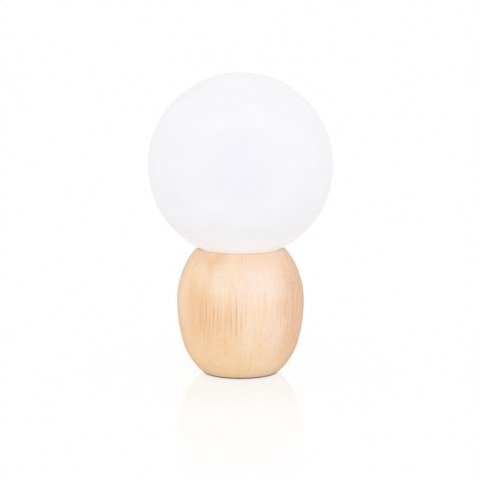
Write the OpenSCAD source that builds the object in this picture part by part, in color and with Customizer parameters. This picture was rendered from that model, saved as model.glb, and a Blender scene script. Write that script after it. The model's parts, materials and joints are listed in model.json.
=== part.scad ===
// Globe table lamp: an opal glass ball that sits in the top of a turned wooden
// base. The neck of the glass pushes over three leaf springs on a steel cup,
// around a small screw lampholder with a golf ball bulb.
//
// Millimetres, Z up. The origin is the middle of the felt underside, so the
// lamp stands on z = 0. The cord hole is at the back, on the +Y side.

/* [Wooden base] */
// Diameter of the base at its widest
base_d = 103.6; // [98:0.2:110]
// Height of the wood
base_h = 101.4; // [96:0.2:110]
// Height of the widest place above the underside of the wood
belly_h = 58.3; // [54:0.1:62]
// Diameter of the top edge, before it is rounded
rim_d = 71.2; // [70:0.1:76]
// Diameter of the foot, before its edge is rounded
foot_d = 60.6; // [58:0.2:66]
// Degrees that the upper side arc turns before the shoulder starts
shoulder_from = 27; // [20:1:32]
// Radius of the shoulder arc, as a share of the upper side arc
shoulder_share = 0.765; // [0.70:0.005:0.85]
// Degrees that the lower side arc turns before the foot curve starts
foot_from = 19.6; // [15:0.1:24]
// Radius of the foot curve, as a share of the lower side arc
foot_share = 0.495; // [0.45:0.005:0.60]
// Rounding of the top edge
rim_round = 2.0; // [1:0.1:2.5]
// Rounding of the foot edge
foot_round = 1.0; // [0.5:0.1:2]
// Width of the top edge, from the outside to the seat of the glass
rim_w = 1.8; // [1.6:0.1:2.4]
// Chamfer on the inside of the top edge
rim_chamfer = 0.4; // [0.2:0.1:0.6]
// Depth of the step that holds the seat ring
shelf_h = 3.2; // [3:0.1:5]
// Gap between the seat ring and the wood
ring_gap = 0.15; // [0.1:0.05:0.25]

/* [Glass globe] */
// Diameter of the globe
globe_d = 150; // [140:1:160]
// Thickness of the glass
glass_t = 2.5; // [2:0.1:3.5]
// Outer diameter of the neck
neck_d = 58; // [56:0.5:59]
// Thickness of the glass at the neck
neck_t = 3; // [2.5:0.1:3.5]
// Length of the neck below the ball
neck_l = 14.5; // [12:0.5:18]
// Hollow rounding between the neck and the ball
neck_fillet = 1.5; // [1:0.1:1.6]
// Gap between the glass and the wooden edge, measured across
rim_gap = 0.9; // [0.6:0.1:1.2]
// Gap between the glass and the seat ring or a leaf spring
glass_gap = 0.3; // [0.2:0.05:0.4]
// Space around the neck in the wood
neck_space = 1.8; // [1.7:0.1:2]
// Space below the neck in the wood
neck_float = 6.2; // [5:0.1:8]

/* [Foot] */
// Thickness of the felt
felt_t = 1.2; // [1:0.1:2.5]
// How far the felt stays inside the foot
felt_inset = 1.0; // [0.8:0.1:2]
// Diameter of the steel weight
weight_d = 52; // [50:0.5:53]
// Thickness of the weight
weight_t = 6; // [4:0.5:8]
// Gap around the weight
weight_gap = 0.2; // [0.1:0.05:0.4]
// Diameter of the hollow above the weight
chamber_d = 42; // [41:0.5:42.5]
// Height of the hollow above the weight
chamber_h = 26.6; // [25:0.2:32]
// Number of screws that hold the weight
weight_screws = 3; // [3:1:4]
// Diameter of those screws
weight_screw_d = 2.6; // [2.2:0.1:3]
// Length of those screws
weight_screw_l = 15; // [12:1:20]
// Width of the slot in a screw's head
slot_w = 0.6; // [0.4:0.1:0.6]
// Gap around a screw in the hole that it passes through
screw_gap = 0.2; // [0.1:0.05:0.25]

/* [Tube and nuts] */
// Outer diameter of the threaded tube
tube_d = 10; // [9.5:0.1:10.5]
// Bore of the threaded tube
tube_bore = 7.8; // [7.4:0.1:8]
// Gap between the tube and what it passes through
tube_gap = 0.05; // [0.03:0.01:0.1]
// Diameter of the hole for the tube in the wood
tube_hole_d = 11; // [10.8:0.1:12]
// Length of tube in the lampholder
tube_grip = 8; // [6:0.5:9]
// Length of tube below the lower nut
tube_end = 2; // [1:0.5:4]
// Width of the nuts across their flats
nut_af = 14; // [13:0.5:15]
// Thickness of the upper nut
top_nut_t = 3; // [2.5:0.5:4]
// Thickness of the lower nut
low_nut_t = 4; // [3:0.5:5]
// Diameter of the washer in the base
washer_d = 24; // [20:1:28]
// Thickness of that washer
washer_t = 1.6; // [1:0.1:2]
// Diameter of the toothed washer
lock_d = 17; // [16:0.5:19]
// Thickness of the toothed washer
lock_t = 0.8; // [0.6:0.1:1]
// Gap between the tube and a washer
washer_gap = 0.15; // [0.1:0.05:0.3]
// Number of teeth on the toothed washer
lock_teeth = 10; // [8:1:14]

/* [Spring cup] */
// Outer diameter of the cup
cup_d = 36; // [34:0.5:37]
// Height of the cup
cup_h = 12; // [10:0.5:13]
// Thickness of the cup
cup_t = 1; // [0.8:0.1:1.2]
// Number of leaf springs
leaves = 3; // [3:1:4]
// Width of a leaf spring
leaf_w = 8; // [6:0.5:9]
// Thickness of a leaf spring
leaf_t = 0.5; // [0.4:0.05:0.6]
// Height of the widest place of a leaf, above the floor of the cup
leaf_peak = 14; // [13:0.5:16]
// Height of the rivets above the floor of the well
rivet_z = 5; // [4.5:0.5:6]
// Diameter of a rivet
rivet_d = 3; // [2.4:0.1:3.4]
// Diameter of a rivet's head
rivet_head_d = 4.6; // [4:0.1:5]
// Height of a rivet's head
rivet_head_h = 0.8; // [0.6:0.1:1]

/* [Lampholder] */
// Outer diameter of the lampholder
holder_d = 28; // [27:0.5:29]
// Length of the lampholder
holder_l = 53; // [52:0.5:56]
// Wall of the lampholder
holder_t = 1.5; // [1.3:0.1:1.6]
// Rounding of the lampholder's outer edges
holder_edge = 1; // [0.6:0.1:1.2]
// Height of its lower half
cap_l = 12; // [11.5:0.5:13]
// Height of the spigot that the upper half screws on to
spigot_l = 8; // [7.5:0.5:9]
// Gap between the spigot and the upper half
spigot_gap = 0.2; // [0.15:0.05:0.3]
// Diameter of the boss at the bottom
boss_d = 17; // [16:0.5:18]
// Height of that boss
boss_h = 4; // [3.5:0.5:4.5]
// Height of the grub screw above the bottom
grub_h = 2.6; // [2.2:0.1:2.8]
// Grooves around the upper half
grip_grooves = 24; // [16:2:30]
// Diameter of a groove
grip_d = 1.2; // [0.8:0.1:1.4]
// Length of a groove
grip_l = 8; // [6:0.5:10]
// Height of the contact carrier above the spigot
carrier_h = 6; // [5.5:0.5:7]
// Depth of the carrier inside the spigot
carrier_sink = 5; // [4.5:0.5:5.5]
// Depth of the socket, from its mouth to the middle contact
socket_depth = 23.8; // [23:0.1:25]
// Length of the threaded sleeve
sleeve_l = 11.5; // [10:0.5:12.5]
// Wall of the threaded sleeve
sleeve_t = 1.4; // [1.1:0.1:1.6]
// Gap between the bulb and the sleeve, and between the bulb and the contacts
bulb_gap = 0.25; // [0.15:0.05:0.3]
// Width of the contact tongues
tongue_w = 4; // [3:0.5:5]
// Thickness of the contact tongues
tongue_t = 0.5; // [0.4:0.05:0.6]
// Distance of the wire terminals from the middle
terminal_x = 7; // [6.5:0.1:7.2]
// Diameter of the terminal screws
terminal_screw_d = 2.5; // [2:0.1:2.8]
// Diameter of the grub screw that locks the tube
grub_d = 3; // [2.5:0.1:3.5]

/* [Bulb] */
// Diameter of the bulb
bulb_d = 45; // [43:0.5:46]
// Length of the bulb
bulb_l = 78; // [76:0.5:80]
// Diameter of the screw cap
screw_d = 13.8; // [13.5:0.05:14]
// Length of the screw cap
screw_l = 17.6; // [17:0.1:18.5]
// Thickness of the screw cap
screw_t = 0.5; // [0.3:0.1:0.6]
// Diameter of the flange at the end of the screw cap
flange_d = 16.4; // [16:0.1:17]
// Height of the dark insulator under the screw cap
insulator_h = 3.0; // [2.5:0.1:3.5]
// Diameter of the contact button
button_d = 4.6; // [4:0.1:5.2]
// Height of the contact button
button_h = 1.0; // [0.8:0.1:1.4]
// Wall of the plastic housing
housing_t = 1.3; // [1:0.1:1.5]
// Length of the housing above the screw cap
housing_l = 24.1; // [23:0.1:25]
// Wall of the opal dome
dome_t = 1.1; // [0.9:0.1:1.3]
// Thickness of the light board
board_t = 1.2; // [1:0.1:1.6]
// Depth of the light board's seat below the edge of the dome
board_seat = 2.7; // [2.6:0.1:3]
// Number of light chips
chips = 8; // [6:1:10]
// Width of a chip
chip_w = 2.8; // [2:0.1:3]
// Length of a chip
chip_l = 3.5; // [3:0.1:4]
// Height of a chip
chip_h = 0.7; // [0.5:0.1:1]
// Width of the driver board
driver_w = 10; // [8:0.5:10.5]
// Thickness of the driver board
driver_t = 1; // [0.8:0.1:1.6]
// Diameter of the capacitor on the driver board
capacitor_d = 6.8; // [6:0.2:7.4]
// Height of that capacitor
capacitor_h = 9; // [8:0.5:10]

/* [Cord inlet and wiring] */
// Height of the cord hole above the underside of the wood
cord_h = 15.8; // [14.5:0.1:18]
// Bore of the cord bush
cord_bore = 6.2; // [5.6:0.1:6.6]
// Wall of the cord bush
bush_t = 1.0; // [0.8:0.1:1.2]
// Diameter of the flange of the cord bush
bush_flange_d = 11; // [10.5:0.1:12]
// Thickness of that flange
bush_flange_t = 1.4; // [1:0.1:2]
// Gap around the cord bush
bush_gap = 0.1; // [0.05:0.05:0.2]
// How far the bush reaches into the hollow
bush_reach = 1; // [0.5:0.5:2]
// Chamfer at the mouth of the bush
bush_mouth = 0.8; // [0.5:0.1:1]
// Distance of the terminal block from the middle, to the front
block_front = 6; // [5.5:0.5:6.5]
// Length of the terminal block
block_l = 17; // [16:0.5:18]
// Height of the terminal block
block_h = 12; // [11.5:0.5:13]
// Distance between its two poles
pole_pitch = 10; // [9.5:0.1:10.4]
// Height of its poles above the weight
pole_h = 6; // [5.6:0.1:6.4]
// Wall of the block around a pole
block_t = 1.4; // [1.2:0.1:1.5]
// Thickness of the block's foot
block_foot_t = 3.4; // [3:0.2:3.6]
// Outer diameter of a brass sleeve
brass_d = 4.8; // [4.4:0.1:5]
// Bore of a brass sleeve
brass_bore = 3.0; // [2.8:0.1:3.2]
// Diameter of the block's screws
block_screw_d = 2.4; // [2:0.1:2.6]
// Diameter of a wire with its sheath
wire_d = 2.4; // [2:0.1:2.6]

/* [Hidden] */
$fn = 96;

// A hair of overlap that lets a cut run clear of the face it opens
eps = 0.02;

// Heights, from the table up
z_wood = felt_t;
z_weight = z_wood + weight_t;
z_roof = z_weight + chamber_h;
z_top = z_wood + base_h;
z_shelf = z_top - shelf_h;

// Radii of the wood
base_r = base_d / 2;
rim_r = rim_d / 2;
foot_r = foot_d / 2;
seat_r = rim_r - rim_w;
chamber_r = chamber_d / 2;
weight_r = weight_d / 2;
tube_r = tube_d / 2;
tube_fit_r = tube_r + tube_gap;

// The glass
globe_r = globe_d / 2;
neck_r = neck_d / 2;
neck_bore_r = neck_r - neck_t;
well_r = neck_r + neck_space;
z_globe = z_top + sqrt(globe_r * globe_r - pow(seat_r - rim_gap, 2));
z_neck = z_globe - sqrt(globe_r * globe_r - neck_r * neck_r);
z_neck_end = z_neck - neck_l;
z_well = z_neck_end - neck_float;

// The stack on the floor of the well
z_cup = z_well + cup_t;
z_lock = z_cup + lock_t;
z_cap = z_lock + top_nut_t;
z_mouth = z_cap + holder_l;
cup_r = cup_d / 2;

// The lampholder
holder_r = holder_d / 2;
boss_r = boss_d / 2;
z_joint = z_cap + cap_l;
z_spigot = z_joint + spigot_l;
z_carrier = z_spigot + carrier_h;
spigot_r = holder_r - holder_t - spigot_gap;
spigot_bore_r = spigot_r - holder_t;
cavity_z = z_cap + tube_grip;
core_r = holder_r - holder_t - 1.2;
z_contact = z_mouth - socket_depth;
terminal_z = z_spigot - carrier_sink / 2;

// The bulb
z_bulb = z_contact + bulb_gap;
screw_r = screw_d / 2;
bulb_r = bulb_d / 2;
flange_r = flange_d / 2;
z_screw = z_bulb + button_h + insulator_h;
z_flange = z_screw + screw_l;
z_ball = z_bulb + bulb_l - bulb_r;
z_dome = z_flange + housing_l;
dome_edge_r = sqrt(bulb_r * bulb_r - pow(z_ball - z_dome, 2));
dome_edge_in = sqrt(pow(bulb_r - dome_t, 2) - pow(z_ball - z_dome, 2));
z_board = z_dome - board_seat;
neck_in_r = screw_r - screw_t;

// The threaded sleeve that the bulb screws into, above the side contact
sleeve_r = screw_r + bulb_gap;
side_contact_h = 1.4;
z_sleeve = z_screw + side_contact_h;

// The cord inlet and the wires
z_cord = z_wood + cord_h;
bush_r = cord_bore / 2 + bush_t;
spot_r = bush_flange_d / 2 + bush_gap;
block_y = -block_front;
wire_r = wire_d / 2;
z_tube_low = z_roof - washer_t - low_nut_t - tube_end;
z_pole = z_weight + pole_h;
pole_x = pole_pitch / 2;
screw_y = block_l / 2 - 4;

// The screw in the middle of the block: height of its seat, its depth in the
// weight, and its head
middle_h = block_h - 5;
fixing_depth = 5;
fixing_head_d = block_screw_d + 1.6;
fixing_head_h = 1.6;

// Solves one half of the turned outline, from the belly to an end at height h
// and radius r_end: [side centre, side radius, curve centre, curve radius,
// edge centre, angle at which the edge rounding starts].
function half_outline(r_end, h, from, share, edge) =
    let (
        lean = (base_r - r_end) / h,
        rest = 1 - (1 - share) * (cos(from) + lean * sin(from)),
        turn = atan(lean) + acos(rest / (share * sqrt(1 + lean * lean))),
        side = h / ((1 - share) * sin(from) + share * sin(turn)),
        curve = share * side,
        c1 = [base_r - side, 0],
        c2 = c1 + (side - curve) * [cos(from), sin(from)],
        y3 = h - edge,
        c3 = [c2.x + sqrt(pow(curve - edge, 2) - pow(y3 - c2.y, 2)), y3]
    )
    [c1, side, c2, curve, c3, atan2(c3.y - c2.y, c3.x - c2.x)];

upper = half_outline(rim_r, base_h - belly_h, shoulder_from, shoulder_share, rim_round);
lower = half_outline(foot_r, belly_h, foot_from, foot_share, foot_round);

// Radius of the wood at a depth below the belly
function lower_radius(depth) =
    let (from_curve = depth > lower[1] * sin(foot_from))
    from_curve
        ? lower[2].x + sqrt(pow(lower[3], 2) - pow(depth - lower[2].y, 2))
        : lower[0].x + sqrt(pow(lower[1], 2) - depth * depth);

// The flat bored for the bush's flange, just inside the wood below the hole
spot_y = lower_radius(belly_h - cord_h + spot_r) - 0.3;

// Points of a cubic curve between p[0] and p[3]
function cubic(p, steps) =
    [for (i = [0 : steps]) let (t = i / steps, s = 1 - t)
        s * s * s * p[0] + 3 * s * s * t * p[1] + 3 * s * t * t * p[2] + t * t * t * p[3]];

// A list of points without its first, to carry on from another list
function tail(p) = [for (i = [1 : len(p) - 1]) p[i]];

function unit(v) = v / norm(v);

// Rounds the inner corners of a path with arcs of radius r
function bent(path, r, steps) =
    [for (i = [0 : len(path) - 1])
        let (last = len(path) - 1)
        if (i == 0 || i == last) path[i]
        else
            let (
                back = unit(path[i - 1] - path[i]),
                on = unit(path[i + 1] - path[i]),
                half = acos(back * on) / 2,
                cut = r / tan(half)
            )
            for (k = [0 : steps])
                let (t = k / steps, a = path[i] + cut * back, b = path[i] + cut * on)
                (1 - t) * (1 - t) * a + 2 * t * (1 - t) * path[i] + t * t * b
    ];

// Side step of a path at point i, to the left
function side_step(path, i) =
    let (
        n = len(path) - 1,
        before = unit(path[i] - path[max(i - 1, 0)] + (i == 0 ? path[1] - path[0] : [0, 0])),
        after = unit(path[min(i + 1, n)] - path[i] + (i == n ? path[n] - path[n - 1] : [0, 0])),
        along = unit(before + after)
    )
    [-along.y, along.x] / max(along * before, 0.5);

// Outline of a strip of thickness t that is centred on a path
module strip(path, t) {
    left = [for (i = [0 : len(path) - 1]) path[i] + t / 2 * side_step(path, i)];
    right = [for (i = [len(path) - 1 : -1 : 0]) path[i] - t / 2 * side_step(path, i)];
    polygon(concat(left, right));
}

// Slice of a disc between two angles
module disc_slice(centre, r, from, to) {
    reach = 2 * r;
    translate(centre) intersection() {
        circle(r = r);
        polygon([[0, 0], reach * [cos(from), sin(from)], reach * [cos(to), sin(to)]]);
    }
}

// Area under one half of the turned outline
module half_section(o, from, h) {
    tangent = o[0] + o[1] * [cos(from), sin(from)];
    edge_r = h - o[4].y;
    edge_start = o[4] + edge_r * [cos(o[5]), sin(o[5])];
    intersection() {
        union() {
            polygon([[0, 0], [base_r, 0], tangent, edge_start, [o[4].x, h], [0, h]]);
            disc_slice(o[0], o[1], 0, from);
            disc_slice(o[2], o[3], from, o[5]);
            disc_slice(o[4], edge_r, o[5], 90);
        }
        square([2 * base_r, 2 * h]);
    }
}

module tube_wall(outer, inner, h) {
    difference() {
        cylinder(r = outer, h = h);
        translate([0, 0, -eps]) cylinder(r = inner, h = h + 2 * eps);
    }
}

module hex_nut(h) {
    difference() {
        intersection() {
            cylinder(r = nut_af / 2 / cos(30), h = h, $fn = 6);
            union() {
                cylinder(r1 = nut_af / 2 + h / 2, r2 = nut_af / 2 + h + eps, h = h / 2 + eps);
                translate([0, 0, h / 2]) cylinder(r1 = nut_af / 2 + h, r2 = nut_af / 2 + h / 2, h = h / 2);
            }
        }
        translate([0, 0, -eps]) cylinder(r = tube_fit_r, h = h + 2 * eps);
    }
}

// A slotted screw that points down, with the top of its head at z = 0
module slotted_screw(d, l, head_d, head_h) {
    difference() {
        union() {
            translate([0, 0, -head_h]) cylinder(d = head_d, h = head_h);
            translate([0, 0, -l]) cylinder(d = d, h = l - head_h + eps);
        }
        translate([-head_d, -slot_w / 2, -head_h / 2]) cube([2 * head_d, slot_w, head_h]);
    }
}

module around(count, first = 0) {
    for (i = [0 : count - 1])
        rotate([0, 0, first + i * 360 / count]) children();
}

// The turned base

module wood_base() {
    color("burlywood") difference() {
        translate([0, 0, z_wood + belly_h]) union() {
            rotate_extrude() half_section(upper, shoulder_from, base_h - belly_h);
            mirror([0, 0, 1]) rotate_extrude() half_section(lower, foot_from, belly_h);
        }
        // seat of the ring, the chamfer of the edge, and the well below them
        translate([0, 0, z_shelf]) cylinder(r = seat_r, h = shelf_h + 1);
        translate([0, 0, z_top - rim_chamfer])
            cylinder(r1 = seat_r, r2 = seat_r + 2 * rim_chamfer, h = 2 * rim_chamfer);
        translate([0, 0, z_well]) cylinder(r = well_r, h = z_top - z_well);
        // hole for the tube, the hollow, and the rebate of the weight
        translate([0, 0, z_roof - 1]) cylinder(d = tube_hole_d, h = z_well - z_roof + 2);
        translate([0, 0, z_wood]) cylinder(r = chamber_r, h = z_roof - z_wood);
        translate([0, 0, z_wood - 1]) cylinder(r = weight_r + weight_gap, h = weight_t + 1);
        around(weight_screws, 90 / weight_screws)
            translate([(weight_r + chamber_r) / 2, 0, z_weight - 1])
                cylinder(d = weight_screw_d, h = weight_screw_l - weight_t + 2);
        // cord hole, with a flat bored for the flange of the bush
        translate([0, 0, z_cord]) rotate([-90, 0, 0]) {
            cylinder(r = bush_r + bush_gap, h = base_r);
            translate([0, 0, spot_y]) cylinder(r = spot_r, h = base_r);
        }
    }
}

module felt_pad() {
    color("saddlebrown") cylinder(r = foot_r - felt_inset, h = felt_t);
}

module weight_plate() {
    head_r = weight_screw_d * 0.9;
    color("dimgray") difference() {
        translate([0, 0, z_wood]) cylinder(r = weight_r, h = weight_t);
        around(weight_screws, 90 / weight_screws)
            translate([(weight_r + chamber_r) / 2, 0, z_wood]) {
                translate([0, 0, -1]) cylinder(d = weight_screw_d + 2 * screw_gap, h = weight_t + 2);
                translate([0, 0, -eps]) cylinder(r1 = head_r, r2 = weight_screw_d / 2, h = head_r);
            }
        translate([0, block_y, z_weight - fixing_depth])
            cylinder(d = block_screw_d, h = fixing_depth + eps);
    }
}

module weight_screw_set() {
    head_r = weight_screw_d * 0.9 - screw_gap;
    point_h = 2;
    recess = weight_screw_d + slot_w / 2;
    color("silver") around(weight_screws, 90 / weight_screws)
        translate([(weight_r + chamber_r) / 2, 0, z_wood]) difference() {
            union() {
                cylinder(r1 = head_r, r2 = slot_w / 2, h = head_r - slot_w / 2);
                cylinder(d = weight_screw_d - 0.1, h = weight_screw_l - point_h);
                translate([0, 0, weight_screw_l - point_h - eps])
                    cylinder(d1 = weight_screw_d - 0.1, d2 = slot_w, h = point_h);
            }
            // crossed slots for the screwdriver
            for (turn = [0, 90])
                rotate([0, 0, turn]) translate([-recess / 2, -slot_w / 2, -1]) cube([recess, slot_w, 1.8]);
        }
}

// The tube that ties the base together

module threaded_tube() {
    color("gold") translate([0, 0, z_tube_low])
        tube_wall(tube_r, tube_bore / 2, cavity_z - z_tube_low);
}

module base_washer() {
    color("silver") translate([0, 0, z_roof - washer_t])
        tube_wall(washer_d / 2, tube_fit_r + washer_gap, washer_t);
}

module base_nut() {
    color("gold") translate([0, 0, z_roof - washer_t - low_nut_t]) hex_nut(low_nut_t);
}

module cup_nut() {
    color("gold") translate([0, 0, z_lock]) hex_nut(top_nut_t);
}

module lock_washer() {
    tooth = 360 / lock_teeth;
    color("silver") translate([0, 0, z_cup]) difference() {
        cylinder(d = lock_d, h = lock_t);
        translate([0, 0, -1]) cylinder(r = tube_fit_r + washer_gap, h = lock_t + 2);
        around(lock_teeth)
            translate([lock_d / 2, 0, -1])
                cylinder(r = lock_d * sin(tooth / 4) / 2, h = lock_t + 2);
    }
}

// The spring cup

module spring_cup() {
    lip = cup_t / 2;
    color("silver") translate([0, 0, z_well]) difference() {
        rotate_extrude() {
            square([cup_r, cup_h - lip]);
            translate([cup_r - lip, cup_h - lip]) circle(r = lip);
        }
        translate([0, 0, cup_t]) cylinder(r = cup_r - cup_t, h = cup_h);
        translate([0, 0, -1]) cylinder(r = tube_fit_r + washer_gap, h = cup_t + 2);
        around(leaves, 270)
            translate([0, 0, rivet_z]) rotate([0, 90, 0]) cylinder(d = rivet_d, h = cup_r + 1);
    }
}

// Path of a leaf in radius and height: up the cup, out to its widest place,
// and in again to the free end
leaf_in = cup_r + leaf_t / 2;
leaf_out = neck_bore_r - glass_gap - leaf_t / 2;
leaf_path = concat(
    [[leaf_in, 1.6]],
    cubic([[leaf_in, 8], [leaf_in, 10], [leaf_out, leaf_peak - 4], [leaf_out, leaf_peak]], 8),
    tail(cubic([[leaf_out, leaf_peak], [leaf_out, leaf_peak + 3], [leaf_in + 3, leaf_peak + 4],
        [leaf_in + 3, leaf_peak + 7.4]], 8))
);

module leaf_springs() {
    color("lightsteelblue") around(leaves, 270)
        translate([0, 0, z_well]) difference() {
            translate([0, leaf_w / 2, 0]) rotate([90, 0, 0])
                linear_extrude(leaf_w) strip(leaf_path, leaf_t);
            translate([cup_r - 1, 0, rivet_z]) rotate([0, 90, 0]) cylinder(d = rivet_d, h = 3);
        }
}

module leaf_rivets() {
    // the inner head stands on the curved wall of the cup by its rim
    inside = sqrt(pow(cup_r - cup_t, 2) - pow(rivet_head_d / 2, 2)) - 0.02;
    outside = cup_r + leaf_t;
    color("silver") around(leaves, 270)
        translate([0, 0, z_well + rivet_z]) rotate([0, 90, 0]) {
            translate([0, 0, inside - eps]) cylinder(d = rivet_d - 0.1, h = outside - inside + 2 * eps);
            translate([0, 0, outside])
                cylinder(d1 = rivet_head_d, d2 = rivet_head_d * 0.65, h = rivet_head_h);
            translate([0, 0, inside - rivet_head_h])
                cylinder(d1 = rivet_head_d * 0.65, d2 = rivet_head_d, h = rivet_head_h);
        }
}

// The glass

// A ring on the shelf of the wood, hollowed to the curve of the ball
module seat_ring() {
    inner = well_r + ring_gap;
    outer = seat_r - ring_gap;
    color("peru") rotate_extrude() difference() {
        translate([inner, z_shelf]) square([outer - inner, shelf_h]);
        translate([0, z_globe]) circle(r = globe_r + glass_gap, $fn = 720);
    }
}

// The ball, its neck, and the hollow rounding where they meet
module glass_globe() {
    fillet_r = neck_r + neck_fillet;
    fillet_z = z_globe - sqrt(pow(globe_r + neck_fillet, 2) - pow(fillet_r, 2));
    touch_r = fillet_r * globe_r / (globe_r + neck_fillet);
    tube_h = z_globe - globe_r / 2 - z_neck_end;
    bead = neck_t / 2;
    middle = neck_r - bead;
    color("white") difference() {
        union() {
            translate([0, 0, z_globe]) sphere(r = globe_r, $fn = 180);
            translate([0, 0, z_neck_end + bead]) cylinder(r = neck_r, h = tube_h);
            rotate_extrude() translate([middle, z_neck_end + bead]) circle(r = bead);
            rotate_extrude() difference() {
                translate([middle, fillet_z]) square([touch_r - middle, neck_l / 2]);
                translate([fillet_r, fillet_z]) circle(r = neck_fillet);
            }
        }
        translate([0, 0, z_globe]) sphere(r = globe_r - glass_t, $fn = 180);
        translate([0, 0, z_neck_end - 1]) cylinder(r = neck_bore_r, h = tube_h);
    }
}

// The lampholder

module holder_cap() {
    z_boss = z_cap + boss_h;
    z_flare = z_boss + 4;
    color("ivory") difference() {
        rotate_extrude() polygon([
            [tube_fit_r, z_cap],
            [boss_r - holder_edge, z_cap],
            [boss_r, z_cap + holder_edge],
            [boss_r, z_boss],
            [holder_r - holder_edge, z_flare],
            [holder_r, z_flare + holder_edge],
            [holder_r, z_joint],
            [spigot_r, z_joint],
            [spigot_r, z_spigot],
            [spigot_bore_r, z_spigot],
            [spigot_bore_r, cavity_z + holder_t],
            [tube_fit_r + holder_t, cavity_z],
            [tube_fit_r, cavity_z]
        ]);
        translate([0, 0, z_cap + grub_h]) rotate([0, 90, 90]) cylinder(d = grub_d + 0.1, h = boss_r + 1);
    }
}

module grub_screw() {
    length = boss_r - tube_fit_r - 0.2;
    color("silver") translate([0, tube_fit_r + 0.1, z_cap + grub_h]) rotate([-90, 0, 0]) difference() {
        cylinder(d = grub_d, h = length);
        translate([-grub_d, -slot_w / 2, length - 0.8]) cube([2 * grub_d, slot_w, 1]);
    }
}

module holder_shell() {
    // the mouth stands clear of the bulb's flange, and the wall steps in at the
    // shoulder that presses the contact carrier down
    inner = holder_r - holder_t;
    mouth_r = flange_r + 0.8;
    mouth_flare = 1.6;
    shoulder_z = z_carrier + 0.1;
    sleeve_out = sleeve_r + sleeve_t;
    z_sleeve_top = z_sleeve + sleeve_l;
    color("ivory") difference() {
        rotate_extrude() polygon([
            [inner, z_joint],
            [holder_r, z_joint],
            [holder_r, z_mouth - holder_edge],
            [holder_r - holder_edge, z_mouth],
            [mouth_r + mouth_flare, z_mouth],
            [mouth_r, z_mouth - mouth_flare],
            [mouth_r, z_sleeve_top + 0.8],
            [sleeve_r, z_sleeve_top - 0.6],
            [sleeve_r, z_sleeve],
            [sleeve_out, z_sleeve],
            [sleeve_out, z_sleeve_top - 1.2],
            [core_r, z_mouth - 2 * mouth_flare],
            [core_r, shoulder_z],
            [inner, shoulder_z]
        ]);
        around(grip_grooves)
            translate([holder_r + grip_d / 4, 0, z_joint + 1.5])
                cylinder(d = grip_d, h = grip_l, $fn = 24);
    }
}

module contact_carrier() {
    z_low = z_spigot - carrier_sink;
    color("whitesmoke") difference() {
        union() {
            translate([0, 0, z_low]) cylinder(r = spigot_bore_r - 0.15, h = carrier_sink + eps);
            translate([0, 0, z_spigot]) cylinder(r = spigot_r, h = carrier_h);
        }
        for (x = [-terminal_x, terminal_x]) {
            // socket for the end of a wire, and the hole of the screw that grips it
            translate([x, 0, z_low - 1]) cylinder(r = wire_r + 0.2, h = carrier_sink + 2);
            translate([x, 0, terminal_z]) rotate([0, sign(x) * 90, 0])
                cylinder(d = terminal_screw_d + 0.1, h = holder_r);
        }
        // hollow in the middle of the underside
        translate([0, 0, z_low - 1]) cylinder(r = 3, h = carrier_sink);
    }
}

module terminal_screws() {
    start = terminal_x + wire_r + 0.1;
    length = spigot_bore_r - start - 0.1;
    color("silver") for (side = [-1, 1])
        translate([side * start, 0, terminal_z]) rotate([0, side * 90, 0]) difference() {
            cylinder(d = terminal_screw_d, h = length);
            translate([-slot_w / 2, -terminal_screw_d, length - 0.5])
                cube([slot_w, 2 * terminal_screw_d, 1]);
        }
}

// A contact tongue is a strip bent in the XZ plane, standing on the carrier
module tongue(path) {
    translate([0, tongue_w / 2, 0]) rotate([90, 0, 0]) linear_extrude(tongue_w) strip(path, tongue_t);
}

module middle_contact() {
    foot = z_carrier + tongue_t / 2;
    peak = z_contact - tongue_t / 2;
    color("goldenrod") tongue(bent([
        [-core_r + 0.4, foot],
        [-4.2, foot],
        [-1.4, peak],
        [1.4, peak],
        [3.4, peak - 1.2]
    ], 0.5, 4));
}

module side_contact() {
    foot = z_carrier + tongue_t / 2;
    near = sleeve_r + tongue_t / 2;
    color("goldenrod") tongue(bent([
        [core_r - 0.3, foot],
        [near + 1.5, foot],
        [near + 1.5, z_screw - 1.8],
        [near, z_screw - 0.4],
        [near, z_sleeve - 0.4]
    ], 0.5, 4));
}

// The bulb

module bulb_button() {
    color("silver") translate([0, 0, z_bulb]) rotate_extrude() polygon([
        [0, 0],
        [button_d / 2 - 0.9, 0],
        [button_d / 2 - 0.25, 0.3],
        [button_d / 2, button_h],
        [0, button_h]
    ]);
}

module bulb_insulator() {
    plug_h = 1.5;
    color("dimgray") translate([0, 0, z_bulb + button_h]) rotate_extrude() polygon([
        [0, 0],
        [button_d / 2 + 0.6, 0],
        [screw_r - 1.1, insulator_h - 0.6],
        [screw_r - 0.7, insulator_h],
        [neck_in_r, insulator_h],
        [neck_in_r, insulator_h + plug_h],
        [0, insulator_h + plug_h]
    ]);
}

module bulb_screw_cap() {
    color("silver") rotate_extrude() polygon([
        [neck_in_r, z_screw],
        [screw_r - 0.2, z_screw],
        [screw_r, z_screw + 0.3],
        [screw_r, z_flange - 2.4],
        [flange_r, z_flange - 0.6],
        [flange_r, z_flange],
        [neck_in_r, z_flange]
    ]);
}

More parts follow.
